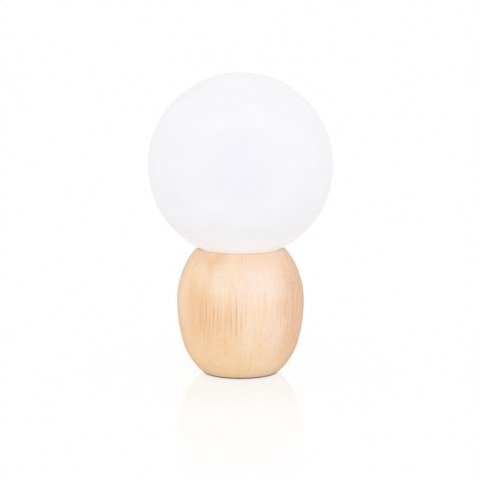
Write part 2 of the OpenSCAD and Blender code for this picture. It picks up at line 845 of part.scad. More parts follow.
// A spigot in the screw cap, a neck that swells to the edge of the dome, and a
// step inside it that carries the light board
module bulb_housing() {
    spigot_z = z_flange - 8;
    outer = cubic([
        [flange_r + 0.3, z_flange + 3],
        [flange_r + 0.8, z_flange + 11],
        [dome_edge_r - 4.6, z_dome - 9.5],
        [dome_edge_r, z_dome]
    ], 10);
    inner = cubic([
        [dome_edge_in - 2 * housing_t, z_board],
        [dome_edge_in - 6.4, z_dome - 9.5],
        [flange_r - housing_t, z_flange + 11],
        [neck_in_r - housing_t, z_flange + 3]
    ], 8);
    color("white") rotate_extrude() polygon(concat(
        [
            [neck_in_r - 0.1, spigot_z],
            [neck_in_r - 0.1, z_flange],
            [flange_r, z_flange]
        ],
        outer,
        [
            [dome_edge_in, z_dome],
            [dome_edge_in, z_dome - 0.6],
            [dome_edge_in - 1, z_board]
        ],
        inner,
        [[neck_in_r - housing_t, spigot_z]]
    ));
}

module bulb_dome() {
    color("white") translate([0, 0, z_ball]) difference() {
        sphere(r = bulb_r);
        sphere(r = bulb_r - dome_t);
        translate([0, 0, z_dome - z_ball - 2 * bulb_r]) cube(4 * bulb_r, center = true);
    }
}

module light_board() {
    color("gainsboro") translate([0, 0, z_board]) cylinder(r = dome_edge_in - 1.2, h = board_t);
}

module light_chips() {
    color("khaki") around(chips)
        translate([dome_edge_in * 0.6 - chip_w / 2, -chip_l / 2, z_board + board_t])
            cube([chip_w, chip_l, chip_h]);
}

module driver_board() {
    // a board that stands in the housing, and the round capacitor on its face
    low = z_flange - 6;
    color("darkolivegreen") {
        translate([-driver_w / 2, -driver_t / 2, low]) cube([driver_w, driver_t, z_board - low]);
        translate([0, (driver_t + capacitor_d) / 2 - eps, z_board - capacitor_h - 3.4])
            cylinder(d = capacitor_d, h = capacitor_h);
    }
}

// The cord inlet and the wiring

module cord_bush() {
    inner_y = chamber_r - bush_reach;
    outer_y = spot_y + bush_flange_t;
    bore_r = cord_bore / 2;
    color("whitesmoke") translate([0, 0, z_cord]) rotate([-90, 0, 0]) rotate_extrude() polygon([
        [bore_r, inner_y],
        [bush_r, inner_y],
        [bush_r, spot_y],
        [bush_flange_d / 2, spot_y],
        [bush_flange_d / 2, outer_y - 0.5],
        [bush_flange_d / 2 - 0.5, outer_y],
        [bore_r + bush_mouth, outer_y],
        [bore_r, outer_y - bush_mouth]
    ]);
}

module terminal_block() {
    brass_r = brass_d / 2;
    tower_r = brass_r + 0.6;
    color("white") translate([0, block_y, z_weight]) difference() {
        union() {
            translate([-pole_x - tower_r, -block_l / 2, 0])
                cube([pole_pitch + 2 * tower_r, block_l, block_foot_t]);
            for (x = [-pole_x, pole_x]) {
                translate([x, block_l / 2, pole_h]) rotate([90, 0, 0])
                    cylinder(r = brass_r + block_t, h = block_l);
                for (y = [-screw_y, screw_y])
                    translate([x, y, 2]) cylinder(r = tower_r, h = block_h - 2);
            }
            translate([0, 0, 1]) cylinder(r = 3, h = middle_h + 0.4);
        }
        for (x = [-pole_x, pole_x]) {
            translate([x, block_l / 2 + 1, pole_h]) rotate([90, 0, 0])
                cylinder(r = brass_r + 0.05, h = block_l + 2);
            for (y = [-screw_y, screw_y])
                translate([x, y, pole_h]) cylinder(d = block_screw_d + 0.5, h = block_h);
        }
        // hole and counterbore of the screw that holds the block
        translate([0, 0, -1]) cylinder(d = block_screw_d + 2 * screw_gap, h = block_h + 2);
        translate([0, 0, middle_h]) cylinder(d = fixing_head_d + 2 * screw_gap, h = block_h);
    }
}

module block_sleeves() {
    color("goldenrod") for (x = [-pole_x, pole_x])
        translate([x, block_y, z_pole]) difference() {
            translate([0, block_l / 2 - 1, 0]) rotate([90, 0, 0]) cylinder(d = brass_d, h = block_l - 2);
            translate([0, block_l / 2, 0]) rotate([90, 0, 0]) cylinder(d = brass_bore, h = block_l);
            for (y = [-screw_y, screw_y])
                translate([0, y, 0]) cylinder(d = block_screw_d + 0.1, h = brass_d);
        }
}

module block_screws() {
    top = z_weight + block_h - 1;
    color("silver") for (x = [-pole_x, pole_x], y = [-screw_y, screw_y])
        translate([x, block_y + y, top])
            slotted_screw(block_screw_d, top - z_pole - wire_r, block_screw_d + 0.3, 1.8);
}

module block_fixing_screw() {
    color("silver") translate([0, block_y, z_weight + middle_h + fixing_head_h])
        slotted_screw(block_screw_d - 0.1, middle_h + fixing_head_h + fixing_depth - 1,
            fixing_head_d, fixing_head_h);
}

// Route of a wire on one side of the lamp: out of the terminal block, round and
// up into the tube, and out of its top to the lampholder's terminal.
function wire_route(side) = [
    [side * pole_x, block_y - 3, z_pole],
    [side * pole_x, block_y - block_l / 2, z_pole],
    [side * pole_x, block_y - block_l / 2 - 1.5, z_pole + 0.3],
    [side * pole_x * 0.9, block_y - block_l / 2 - 3.4, z_pole + 3],
    [side * pole_x * 0.7, block_y - block_l / 2 - 2.6, z_pole + 6.8],
    [side * pole_x * 0.5, block_y - 4.5, z_tube_low - 3.4],
    [side * 1.9, block_y + 2, z_tube_low - 3],
    [side * 1.8, -0.6, z_tube_low - 0.6],
    [side * 1.8, 0, z_tube_low + 3],
    [side * 1.8, 0, z_tube_low + 15],
    [side * 1.8, 0, (z_tube_low + cavity_z) / 2],
    [side * 1.8, 0, cavity_z - 15],
    [side * 1.8, 0, cavity_z - 2],
    [side * 2.4, 0, cavity_z + 1.2],
    [side * (terminal_x - 0.8), 0, z_spigot - carrier_sink - 2.4],
    [side * terminal_x, 0, z_spigot - carrier_sink],
    [side * terminal_x, 0, z_spigot - 0.6]
];

// Catmull-Rom curve through the points of a route, with cuts rings per span
function smooth(p, cuts) =
    let (n = len(p) - 1)
    [for (i = [0 : n - 1], k = [0 : cuts - 1])
        let (
            t = k / cuts,
            a = p[max(i - 1, 0)],
            b = p[i],
            c = p[i + 1],
            d = p[min(i + 2, n)]
        )
        0.5 * (2 * b + t * (c - a) + t * t * (2 * a - 5 * b + 4 * c - d)
            + t * t * t * (3 * b - a - 3 * c + d)),
        p[n]
    ];

// A round tube of 8 sides swept along points, with the sides kept level by X
module swept_wire(points, r) {
    sides = 8;
    rings = len(points);
    frames = [for (i = [0 : rings - 1])
        let (
            along = unit(points[min(i + 1, rings - 1)] - points[max(i - 1, 0)]),
            across = unit(cross(along, [1, 0.001, 0])),
            up = cross(across, along)
        )
        [across, up]
    ];
    verts = [for (i = [0 : rings - 1], k = [0 : sides - 1])
        let (a = k * 360 / sides)
        points[i] + r * (cos(a) * frames[i][0] + sin(a) * frames[i][1])
    ];
    walls = [for (i = [0 : rings - 2], k = [0 : sides - 1])
        let (a = i * sides + k, b = i * sides + (k + 1) % sides)
        each [[a, b, b + sides], [a, b + sides, a + sides]]
    ];
    first = [for (k = [1 : sides - 2]) [0, k + 1, k]];
    end = (rings - 1) * sides;
    last = [for (k = [1 : sides - 2]) [end, end + k, end + k + 1]];
    polyhedron(points = verts, faces = concat(walls, first, last));
}

module live_wire() {
    color("sienna") swept_wire(smooth(wire_route(1), 3), wire_r);
}

module neutral_wire() {
    color("royalblue") swept_wire(smooth(wire_route(-1), 3), wire_r);
}

wood_base();
felt_pad();
weight_plate();
weight_screw_set();
threaded_tube();
base_washer();
base_nut();
spring_cup();
leaf_springs();
leaf_rivets();
lock_washer();
cup_nut();
seat_ring();
glass_globe();
holder_cap();
holder_shell();
contact_carrier();
middle_contact();
side_contact();
terminal_screws();
grub_screw();
bulb_button();
bulb_insulator();
bulb_screw_cap();
bulb_housing();
bulb_dome();
light_board();
light_chips();
driver_board();
cord_bush();
terminal_block();
block_sleeves();
block_screws();
block_fixing_screw();
live_wire();
neutral_wire();
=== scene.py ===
"""Globe table lamp: an opal glass ball in a turned wooden base, with the lampholder,
bulb, leaf springs and wiring that it holds.

Sizes are in millimetres and colours are as seen on a screen, from 0 to 255, unless a
line says otherwise."""
import json
from math import acos, atan, atan2, cos, degrees, hypot, pi, radians, sin, sqrt, tan

import bmesh
import bpy
from mathutils import Matrix, Vector


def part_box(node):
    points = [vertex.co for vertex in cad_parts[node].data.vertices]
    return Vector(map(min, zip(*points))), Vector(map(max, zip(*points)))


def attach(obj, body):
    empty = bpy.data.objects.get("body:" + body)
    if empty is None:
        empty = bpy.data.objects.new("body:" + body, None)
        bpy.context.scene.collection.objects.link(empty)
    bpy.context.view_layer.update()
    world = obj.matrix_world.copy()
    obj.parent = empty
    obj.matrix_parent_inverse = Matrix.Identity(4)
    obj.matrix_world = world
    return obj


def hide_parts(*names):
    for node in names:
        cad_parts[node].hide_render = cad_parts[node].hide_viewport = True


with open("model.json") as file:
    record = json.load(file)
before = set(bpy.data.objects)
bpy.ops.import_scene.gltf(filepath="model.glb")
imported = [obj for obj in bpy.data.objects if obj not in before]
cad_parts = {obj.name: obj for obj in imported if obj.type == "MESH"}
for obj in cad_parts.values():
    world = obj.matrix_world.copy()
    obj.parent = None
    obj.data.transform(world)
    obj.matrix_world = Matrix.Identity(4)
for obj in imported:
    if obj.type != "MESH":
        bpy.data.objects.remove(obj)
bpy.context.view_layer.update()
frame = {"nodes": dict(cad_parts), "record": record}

MM = 0.001

# The turned wood
BASE_H = 101.4
BELLY_R = 51.8
BELLY_H = 58.3
RIM_R = 35.6
RIM_W = 1.8
RIM_ROUND = 2.0
RIM_CHAMFER = 0.4
# degrees that the side arc turns before the shoulder, whose radius is a share of its own
SHOULDER_FROM = 27
SHOULDER_SHARE = 0.765
# the solid's foot is slimmer (30.3, from 19.6, with 0.495) than the photo shows it
FOOT_R = 31.6
FOOT_ROUND = 1.0
FOOT_FROM = 15
FOOT_SHARE = 0.42
SHELF_H = 3.2
WELL_R = 30.8
TUBE_HOLE_R = 5.5
CHAMBER_R = 21.0
CHAMBER_H = 26.6
WEIGHT_HOLE_R = 26.2
WEIGHT_T = 6.0
FELT_T = 1.2
FELT_INSET = 1.0

# The cord hole at the back
CORD_H = 15.8
BUSH_HOLE_R = 4.2
BUSH_FLANGE_HOLE_R = 5.6
BUSH_FLANGE_T = 1.4

# The glass and its leaf springs
GLOBE_R = 75.0
GLASS_T = 2.5
NECK_R = 29.0
NECK_T = 3.0
NECK_L = 14.5
NECK_FILLET = 1.5
# between the end of the neck and the floor of the well
NECK_FLOAT = 6.2
RIM_GAP = 0.9
CUP_R = 18.0
# floor of the cup, toothed washer and nut, under the lampholder
CUP_STACK = 4.8
LEAF_W = 8.0
LEAF_T = 0.5
# heights on a leaf above the floor of the well, and how far its top stands out
LEAF_FOOT = 1.6
LEAF_PEAK = 14.0
LEAF_TOP = 21.4
LEAF_TOP_OUT = 3.0
# between the corners of a leaf and the bore of the neck
LEAF_CLEAR = 0.05

# The lampholder, the tube and the wires
HOLDER_L = 53.0
# top of the spigot above the lampholder's underside
SPIGOT_H = 20.0
SOCKET_DEPTH = 23.8
TERMINAL_X = 7.0
CARRIER_SINK = 5.0
TUBE_R = 5.0
TUBE_BORE_R = 3.9
# length of tube in the lampholder, and below the roof of the chamber
TUBE_GRIP = 8.0
TUBE_DROP = 7.6
TUBE_CHAMFER = 0.4
TUBE_PITCH = 1.0
TUBE_THREAD = 0.3
WIRE_R = 1.2
BLOCK_Y = -6.0
BLOCK_L = 17.0
POLE_X = 5.0
POLE_H = 6.0

# The bulb
BULB_R = 22.5
BULB_L = 78.0
BULB_GAP = 0.25
BUTTON_R = 2.3
BUTTON_H = 1.0
INSULATOR_H = 3.0
PLUG_H = 1.5
SCREW_R = 6.9
SCREW_L = 17.6
SCREW_CHAMFER = 0.3
BULB_PITCH = 2.822
BULB_THREAD = 0.44
CAP_BORE_R = 6.4
FLANGE_R = 8.2
HOUSING_T = 1.3
HOUSING_L = 24.1
HOUSING_SPIGOT = 8.0
BOARD_SEAT = 2.7
DOME_T = 1.1

# Heights above the table, and the radii that come with them
Z_WOOD = FELT_T
Z_WEIGHT = Z_WOOD + WEIGHT_T
Z_ROOF = Z_WEIGHT + CHAMBER_H
Z_TOP = Z_WOOD + BASE_H
SEAT_R = RIM_R - RIM_W
Z_GLOBE = Z_TOP + sqrt(GLOBE_R ** 2 - (SEAT_R - RIM_GAP) ** 2)
Z_NECK = Z_GLOBE - sqrt(GLOBE_R ** 2 - NECK_R ** 2)
Z_NECK_END = Z_NECK - NECK_L
Z_WELL = Z_NECK_END - NECK_FLOAT
Z_CAP = Z_WELL + CUP_STACK
Z_SPIGOT = Z_CAP + SPIGOT_H
Z_BULB = Z_CAP + HOLDER_L - SOCKET_DEPTH + BULB_GAP
Z_SCREW = Z_BULB + BUTTON_H + INSULATOR_H
Z_FLANGE = Z_SCREW + SCREW_L
Z_DOME = Z_FLANGE + HOUSING_L
Z_BALL = Z_BULB + BULB_L - BULB_R
Z_TUBE_LOW = Z_ROOF - TUBE_DROP
Z_TUBE_TOP = Z_CAP + TUBE_GRIP
DOME_EDGE_R = sqrt(BULB_R ** 2 - (Z_BALL - Z_DOME) ** 2)
DOME_EDGE_IN = sqrt((BULB_R - DOME_T) ** 2 - (Z_BALL - Z_DOME) ** 2)

EASING_STEPS = 5
WIRE_SIDES = 20
# Points of a mesh that are this near, in metres, become one
SAME_POINT = 2e-7
# A point of a turned outline that is this near the axis becomes a pole
ON_AXIS = 1e-6
# Points this near the radius of a wall belong to it
ON_WALL = 0.01


# Modelling: outlines are lists of (radius, height)

def arc(centre, radius, start, end, steps):
    """Points of an arc, with its angles in degrees."""
    turns = [radians(start + (end - start) * i / steps) for i in range(steps + 1)]
    return [(centre[0] + radius * cos(t), centre[1] + radius * sin(t)) for t in turns]


def cubic(a, b, c, d, steps):
    """Points of a cubic curve from a to d, in two or three dimensions."""
    a, b, c, d = (Vector(p) for p in (a, b, c, d))
    points = []
    for i in range(steps + 1):
        t, s = i / steps, 1 - i / steps
        points.append(tuple(s ** 3 * a + 3 * s * s * t * b + 3 * s * t * t * c
                            + t ** 3 * d))
    return points


def eased(corners):
    """An outline from corners (radius, height, easing), each rounded over its easing."""
    points = []
    count = len(corners)
    for i, (r, z, ease) in enumerate(corners):
        if ease == 0:
            points.append((r, z))
            continue
        corner = Vector((r, z))
        back = Vector(corners[i - 1][:2]) - corner
        ahead = Vector(corners[(i + 1) % count][:2]) - corner
        start = corner + back.normalized() * min(ease, back.length / 2)
        end = corner + ahead.normalized() * min(ease, ahead.length / 2)
        for k in range(EASING_STEPS + 1):
            t = k / EASING_STEPS
            points.append(tuple(start.lerp(corner, t).lerp(corner.lerp(end, t), t)))
    return points


def half_outline(end_r, height, side_arc, share, edge):
    """One half of the turned outline, from the belly to an end: the side arc, the
    curve that is tangent to it, and the rounded edge, as (radius, distance)."""
    turn = radians(side_arc)
    lean = (BELLY_R - end_r) / height
    rest = 1 - (1 - share) * (cos(turn) + lean * sin(turn))
    last = atan(lean) + acos(rest / (share * hypot(1, lean)))
    side = height / ((1 - share) * sin(turn) + share * sin(last))
    curve = share * side
    first = Vector((BELLY_R - side, 0))
    second = first + (side - curve) * Vector((cos(turn), sin(turn)))
    edge_z = height - edge
    edge_r = second.x + sqrt((curve - edge) ** 2 - (edge_z - second.y) ** 2)
    third = Vector((edge_r, edge_z))
    meet = degrees(atan2(third.y - second.y, third.x - second.x))
    return (arc(first, side, 0, side_arc, 16)[:-1]
            + arc(second, curve, side_arc, meet, 24)[:-1]
            + arc(third, edge, meet, 90, 10))


def turned(outline, steps):
    """Turns a closed outline round the Z axis. Points on the axis become poles."""
    mesh = bmesh.new()
    verts = [mesh.verts.new((r * MM if r > ON_AXIS else 0, 0, z * MM))
             for r, z in outline]
    edges = [mesh.edges.new(pair) for pair in zip(verts, verts[1:] + verts[:1])
             if pair[0].co.x > 0 or pair[1].co.x > 0]
    bmesh.ops.spin(mesh, geom=verts + edges, cent=(0, 0, 0), axis=(0, 0, 1),
                   angle=2 * pi, steps=steps, use_merge=True)
    return mesh


def stepped(radius, low, high, steps):
    """A straight wall in short steps, for a thread."""
    return [(radius, low + (high - low) * i / steps) for i in range(steps + 1)]


def cut_thread(mesh, radius, low, high, pitch, depth):
    """Presses a right-hand thread into the wall of a turned piece. It starts and ends
    softly, over half a turn."""
    for vert in mesh.verts:
        z = vert.co.z / MM
        out = hypot(vert.co.x, vert.co.y) / MM
        if abs(out - radius) > ON_WALL or not low < z < high:
            continue
        fade = min(1, (z - low) / (pitch / 2), (high - z) / (pitch / 2))
        turn = atan2(vert.co.y, vert.co.x)
        cut = depth * fade * 0.5 * (1 - cos(2 * pi * z / pitch - turn))
        vert.co.x *= 1 - cut / out
        vert.co.y *= 1 - cut / out


def swept(points, radius):
    """A round wire along points, with closed ends."""
    mesh = bmesh.new()
    path = [Vector(p) * MM for p in points]
    along = [(path[min(i + 1, len(path) - 1)] - path[max(i - 1, 0)]).normalized()
             for i in range(len(path))]
    turn = Vector((0, 0, 1)).rotation_difference(along[0]).to_matrix().to_4x4()
    ring = bmesh.ops.create_circle(mesh, cap_ends=True, segments=WIRE_SIDES,
                                   radius=radius * MM,
                                   matrix=Matrix.Translation(path[0]) @ turn)["verts"]
    edges = list({edge for vert in ring for edge in vert.link_edges})
    for i in range(1, len(path)):
        grown = bmesh.ops.extrude_edge_only(mesh, edges=edges)["geom"]
        edges = [item for item in grown if isinstance(item, bmesh.types.BMEdge)
                 and all(vert not in ring for vert in item.verts)]
        ring = [item for item in grown if isinstance(item, bmesh.types.BMVert)]
        step = (Matrix.Translation(path[i])
                @ along[i - 1].rotation_difference(along[i]).to_matrix().to_4x4()
                @ Matrix.Translation(-path[i - 1]))
        bmesh.ops.transform(mesh, matrix=step, verts=ring)
    bmesh.ops.edgeloop_fill(mesh, edges=edges)
    return mesh


def placed(name, data):
    """A new object of the scene for a mesh, a lamp or a camera."""
    item = bpy.data.objects.new(name, data)
    bpy.context.scene.collection.objects.link(item)
    return item


def mesh_data(name, mesh):
    """Mesh data from a bmesh, which is used up."""
    data = bpy.data.meshes.new(name)
    mesh.to_mesh(data)
    mesh.free()
    return data


def finish_piece(name, mesh, body, slot, nodes, smooth_below=40):
    """Makes a piece of a bmesh, with crisp edges kept crisp, on its CAD body and in
    the finish of its slot. The angle is in degrees."""
    bmesh.ops.remove_doubles(mesh, verts=mesh.verts, dist=SAME_POINT)
    bmesh.ops.recalc_face_normals(mesh, faces=mesh.faces)
    data = mesh_data(name, mesh)
    data.shade_smooth()
    data.set_sharp_from_angle(angle=radians(smooth_below))
    data.materials.append(FINISHES[slot])
    piece = placed(name, data)
    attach(piece, body)
    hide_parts(*nodes)
    return piece


# Shader nodes

def add(tree, kind, **settings):
    node = tree.nodes.new(kind)
    for name, value in settings.items():
        setattr(node, name, value)
    return node


def feed(tree, socket, value):
    """Gives an input a value, or links an output to it."""
    if isinstance(value, bpy.types.NodeSocket):
        tree.links.new(value, socket)
    else:
        socket.default_value = value


def fed(tree, kind, **inputs):
    """A new node, with values or links for its inputs."""
    node = add(tree, kind)
    for label, value in inputs.items():
        feed(tree, node.inputs[label.replace("_", " ")], value)
    return node


def maths(tree, operation, *values):
    node = add(tree, "ShaderNodeMath", operation=operation)
    for socket, value in zip(node.inputs, values):
        feed(tree, socket, value)
    return node.outputs[0]


def plus(tree, first, second):
    return maths(tree, "ADD", first, second)


def times(tree, product, *factors):
    for factor in factors:
        product = maths(tree, "MULTIPLY", product, factor)
    return product


def vector_maths(tree, operation, *values):
    node = add(tree, "ShaderNodeVectorMath", operation=operation)
    for socket, value in zip(node.inputs, values):
        feed(tree, socket, value)
    return node.outputs["Value" if operation in ("LENGTH", "DOT_PRODUCT") else "Vector"]


def scaled(tree, place, factors):
    """A place times a factor for each axis: more of a pattern fits where it is larger."""
    return vector_maths(tree, "MULTIPLY", place, factors)


def split(tree, place):
    """The outputs X, Y and Z of a place."""
    parts = add(tree, "ShaderNodeSeparateXYZ")
    feed(tree, parts.inputs[0], place)
    return parts.outputs


def noise(tree, place, scale=1.0, detail=2.0, roughness=0.5, output="Fac"):
    """Soft noise at a place."""
    return fed(tree, "ShaderNodeTexNoise", Vector=place, Scale=scale, Detail=detail,
               Roughness=roughness).outputs[output]


def line_noise(tree, travel, scale, detail=2.0):
    """Soft noise along a line."""
    node = add(tree, "ShaderNodeTexNoise", noise_dimensions="1D")
    for label, value in (("W", travel), ("Scale", scale), ("Detail", detail)):
        feed(tree, node.inputs[label], value)
    return node.outputs["Fac"]


def between(tree, value, low, high, to_low=0.0, to_high=1.0):
    """Maps a value smoothly from one range to another."""
    node = add(tree, "ShaderNodeMapRange", interpolation_type="SMOOTHSTEP")
    for label, number in (("Value", value), ("From Min", low), ("From Max", high),
                          ("To Min", to_low), ("To Max", to_high)):
        feed(tree, node.inputs[label], number)
    return node.outputs["Result"]


def mixed(tree, share, first, second, blend="MIX"):
    """Mixes two colours. Inputs 6 and 7 and output 2 are the node's colour sockets."""
    node = add(tree, "ShaderNodeMix", data_type="RGBA", blend_type=blend)
    for index, value in ((0, share), (6, first), (7, second)):
        feed(tree, node.inputs[index], value)
    return node.outputs[2]


def mixed_shaders(tree, share, first, second):
    node = add(tree, "ShaderNodeMixShader")
    for socket, value in zip(node.inputs, (share, first.outputs[0], second.outputs[0])):
        feed(tree, socket, value)
    return node


def facing(tree):
    """How far the surface turns away from the eye, from 0 to 1."""
    return fed(tree, "ShaderNodeLayerWeight", Blend=0.5).outputs["Facing"]


# Shader groups: each takes a place in millimetres and gives masks and heights

def shader_group(name, inputs, outputs):
    """A new group. An input without a value is a place."""
    tree = bpy.data.node_groups.new(name, "ShaderNodeTree")
    for label, value in inputs.items():
        kind = "NodeSocketVector" if value is None else "NodeSocketFloat"
        socket = tree.interface.new_socket(label, in_out="INPUT", socket_type=kind)
        if value is not None:
            socket.default_value = value
    for label in outputs:
        tree.interface.new_socket(label, in_out="OUTPUT", socket_type="NodeSocketFloat")
    return (tree, tree.nodes.new("NodeGroupInput").outputs,
            tree.nodes.new("NodeGroupOutput").inputs)


# The middle of the log, behind the piece and to its right
PITH = (125.0, 130.0, 50.0)
RING_WIDTH = 1.9
# How often the patterns of the wood repeat across, in depth and along the grain
WARP = (0.020, 0.020, 0.009)
FADING = (0.09, 0.09, 0.022)
BANDS = (0.11, 0.11, 0.012)
FIBRES = (0.95, 0.95, 0.035)
STREAKS = (0.95, 0.07, 0.022)
FINE_FIBRES = (2.6, 2.6, 0.07)
PORES = (3.2, 3.2, 0.18)


def make_wood_figure():
    """Growth rings round a pith behind the piece, fibres along the grain, and pores."""
    tree, given, result = shader_group(
        "wood_figure", {"Place": None, "Ring Width": RING_WIDTH},
        ("Rings", "Bands", "Fibre", "Streaks", "Fine Fibre", "Pores"))
    place = given["Place"]
    # the rings wander by a few mm, and the log leans and bows a little
    warp = noise(tree, scaled(tree, place, WARP), output="Color")
    shift = vector_maths(tree, "SUBTRACT", warp, (0.5, 0.5, 0.5))
    shift = scaled(tree, shift, (11.0, 11.0, 0.0))
    from_pith = vector_maths(tree, "SUBTRACT", place, PITH)
    out = split(tree, vector_maths(tree, "ADD", from_pith, shift))
    bow = times(tree, out["Z"], out["Z"], -0.003)
    across = maths(tree, "MULTIPLY_ADD", out["Z"], 0.06, plus(tree, out["X"], bow))
    behind = maths(tree, "MULTIPLY_ADD", out["Z"], -0.04, plus(tree, out["Y"], bow))
    distance = maths(tree, "SQRT", plus(tree, times(tree, across, across),
                                        times(tree, behind, behind)))
    # each ring darkens slowly and ends at once, some rings are weak, and all fade in places
    count = maths(tree, "DIVIDE", distance, given["Ring Width"])
    phase = maths(tree, "FRACT", count)
    rise = between(tree, phase, 0.0, 0.72)
    fall = between(tree, phase, 0.76, 1.0, 1.0, 0.0)
    strength = between(tree, line_noise(tree, count, 0.45), 0.35, 0.65, 0.15, 1.0)
    faded = noise(tree, scaled(tree, place, FADING), detail=3.0)
    faded = between(tree, faded, 0.36, 0.62, 0.1, 1.0)
    feed(tree, result["Rings"], times(tree, rise, fall, strength, faded))
    bands = scaled(tree, vector_maths(tree, "ADD", place, shift), BANDS)
    feed(tree, result["Bands"], noise(tree, bands, detail=3.0))
    for label, factors, detail, roughness in (
            ("Fibre", FIBRES, 4.0, 0.62),
            ("Streaks", STREAKS, 3.0, 0.6),
            ("Fine Fibre", FINE_FIBRES, 3.0, 0.6)):
        grain = scaled(tree, place, factors)
        feed(tree, result[label], noise(tree, grain, detail=detail, roughness=roughness))
    pore = noise(tree, scaled(tree, place, PORES), detail=1.0)
    feed(tree, result["Pores"], between(tree, pore, 0.66, 0.74))
    return tree


def make_fine_skin():
    """The fine roughness of a moulded, fired or etched skin, and its slow cloudiness."""
    tree, given, result = shader_group(
        "fine_skin", {"Place": None, "Size": 0.3}, ("Height", "Cloud"))
    fine = add(tree, "ShaderNodeVectorMath", operation="SCALE")
    feed(tree, fine.inputs[0], given["Place"])
    feed(tree, fine.inputs["Scale"], maths(tree, "DIVIDE", 1.0, given["Size"]))
    feed(tree, result["Height"], noise(tree, fine.outputs[0], detail=3.0))
    slow = scaled(tree, given["Place"], (0.05, 0.05, 0.05))
    feed(tree, result["Cloud"], noise(tree, slow, detail=3.0))
    return tree


def make_turning_lines():
    """The rings that a cutting tool leaves on a turned or spun piece of metal."""
    tree, given, result = shader_group(
        "turning_lines", {"Place": None, "Lines per mm": 6.0}, ("Height", "Stain"))
    radius = vector_maths(tree, "LENGTH", scaled(tree, given["Place"], (1, 1, 0)))
    travel = plus(tree, radius, split(tree, given["Place"])["Z"])
    travel = times(tree, travel, given["Lines per mm"])
    feed(tree, result["Height"], line_noise(tree, travel, 1.0, 3.0))
    spots = scaled(tree, given["Place"], (0.35, 0.35, 0.35))
    feed(tree, result["Stain"], noise(tree, spots, detail=4.0, roughness=0.6))
    return tree


def make_fibres():
    """Short fibres that lie every way, as in felt."""
    tree, given, result = shader_group("felt_fibres", {"Place": None}, ("Height",))
    bend = noise(tree, given["Place"], scale=1.4, output="Color")
    bent = vector_maths(tree, "ADD", given["Place"], scaled(tree, bend, (2.4, 2.4, 2.4)))
    first = noise(tree, scaled(tree, bent, (9.0, 1.3, 5.0)))
    second = noise(tree, scaled(tree, bent, (1.3, 9.0, 5.0)))
    feed(tree, result["Height"], maths(tree, "MAXIMUM", first, second))
    return tree


WOOD_FIGURE = make_wood_figure()
FINE_SKIN = make_fine_skin()
TURNING_LINES = make_turning_lines()
FELT_FIBRES = make_fibres()


# Finishes

def colour(red, green, blue):
    """A screen colour as a shader takes it."""
    linear = [(c / 255 / 12.92) if c <= 10 else ((c / 255 + 0.055) / 1.055) ** 2.4
              for c in (red, green, blue)]
    return (*linear, 1.0)


def finish(name, base, roughness, metallic=0.0):
    """A new material: its tree, its shader, and the place on the piece in millimetres."""
    material = bpy.data.materials.new(name)
    material.use_nodes = True
    tree = material.node_tree
    shader = tree.nodes["Principled BSDF"]
    shader.inputs["Base Color"].default_value = base
    shader.inputs["Roughness"].default_value = roughness
    shader.inputs["Metallic"].default_value = metallic
    where = add(tree, "ShaderNodeTexCoord")
    scale = add(tree, "ShaderNodeMapping")
    scale.inputs["Scale"].default_value = (1000, 1000, 1000)
    tree.links.new(where.outputs["Object"], scale.inputs["Vector"])
    return material, tree, shader, scale.outputs[0]


def use_group(tree, group, place, **values):
    node = add(tree, "ShaderNodeGroup", node_tree=group)
    feed(tree, node.inputs["Place"], place)
    for label, value in values.items():
        node.inputs[label.replace("_", " ")].default_value = value
    return node.outputs


def bump(tree, shader, height, depth):
    """Presses a height into the surface."""
    node = fed(tree, "ShaderNodeBump", Distance=depth * MM, Height=height)
    feed(tree, shader.inputs["Normal"], node.outputs["Normal"])


def stain_and_light_patch(tree, place, tone, ragged, middle, half_sizes, share, shade):
    """Tints a colour in a soft patch, for stains and for painted highlight and reflection.
    The ragged value pushes its edge in and out.
    """
    reach = vector_maths(tree, "SUBTRACT", place, middle)
    reach = vector_maths(tree, "DIVIDE", reach, half_sizes)
    reach = plus(tree, vector_maths(tree, "LENGTH", reach), ragged)
    patch = between(tree, reach, 0.1, 1.05, 1.0, 0.0)
    return mixed(tree, times(tree, patch, share), tone, shade)


# Tones of the wood, and the painted light and shade in its colour
LEFT_TONE = (251, 213, 170)
# pale towards the upper right: the wood's own tone and painted highlight
UPPER_RIGHT_TONE_AND_HIGHLIGHT = (255, 230, 204)
# painted light for the foot, which lifts its shade near the floor
FOOT_LEFT_PAINTED_LIGHT = (255, 227, 184)
FOOT_RIGHT_PAINTED_LIGHT = (255, 230, 195)
# the right flank: the wood's tone and painted shade
FLANK_TONE_AND_SHADE = (236, 187, 149)
GRAIN_TONE = (238, 188, 140)
RIGHT_GRAIN_TONE = (218, 160, 118)
PORE_TONE = (206, 148, 100)
# painted shade where the surface turns away from the eye
EDGE_SHADE_TONE = (222, 174, 136)
# How strongly its marks and its painted shade show, from 0 to 1
FLANK_AND_SHADE_SHARE = 0.62
RING_SHARE = 0.32
FIBRE_SHARE = 0.26
RIGHT_FIBRE_SHARE = 0.51
PORE_SHARE = 0.28
EDGE_SHADE_SHARE = 0.60
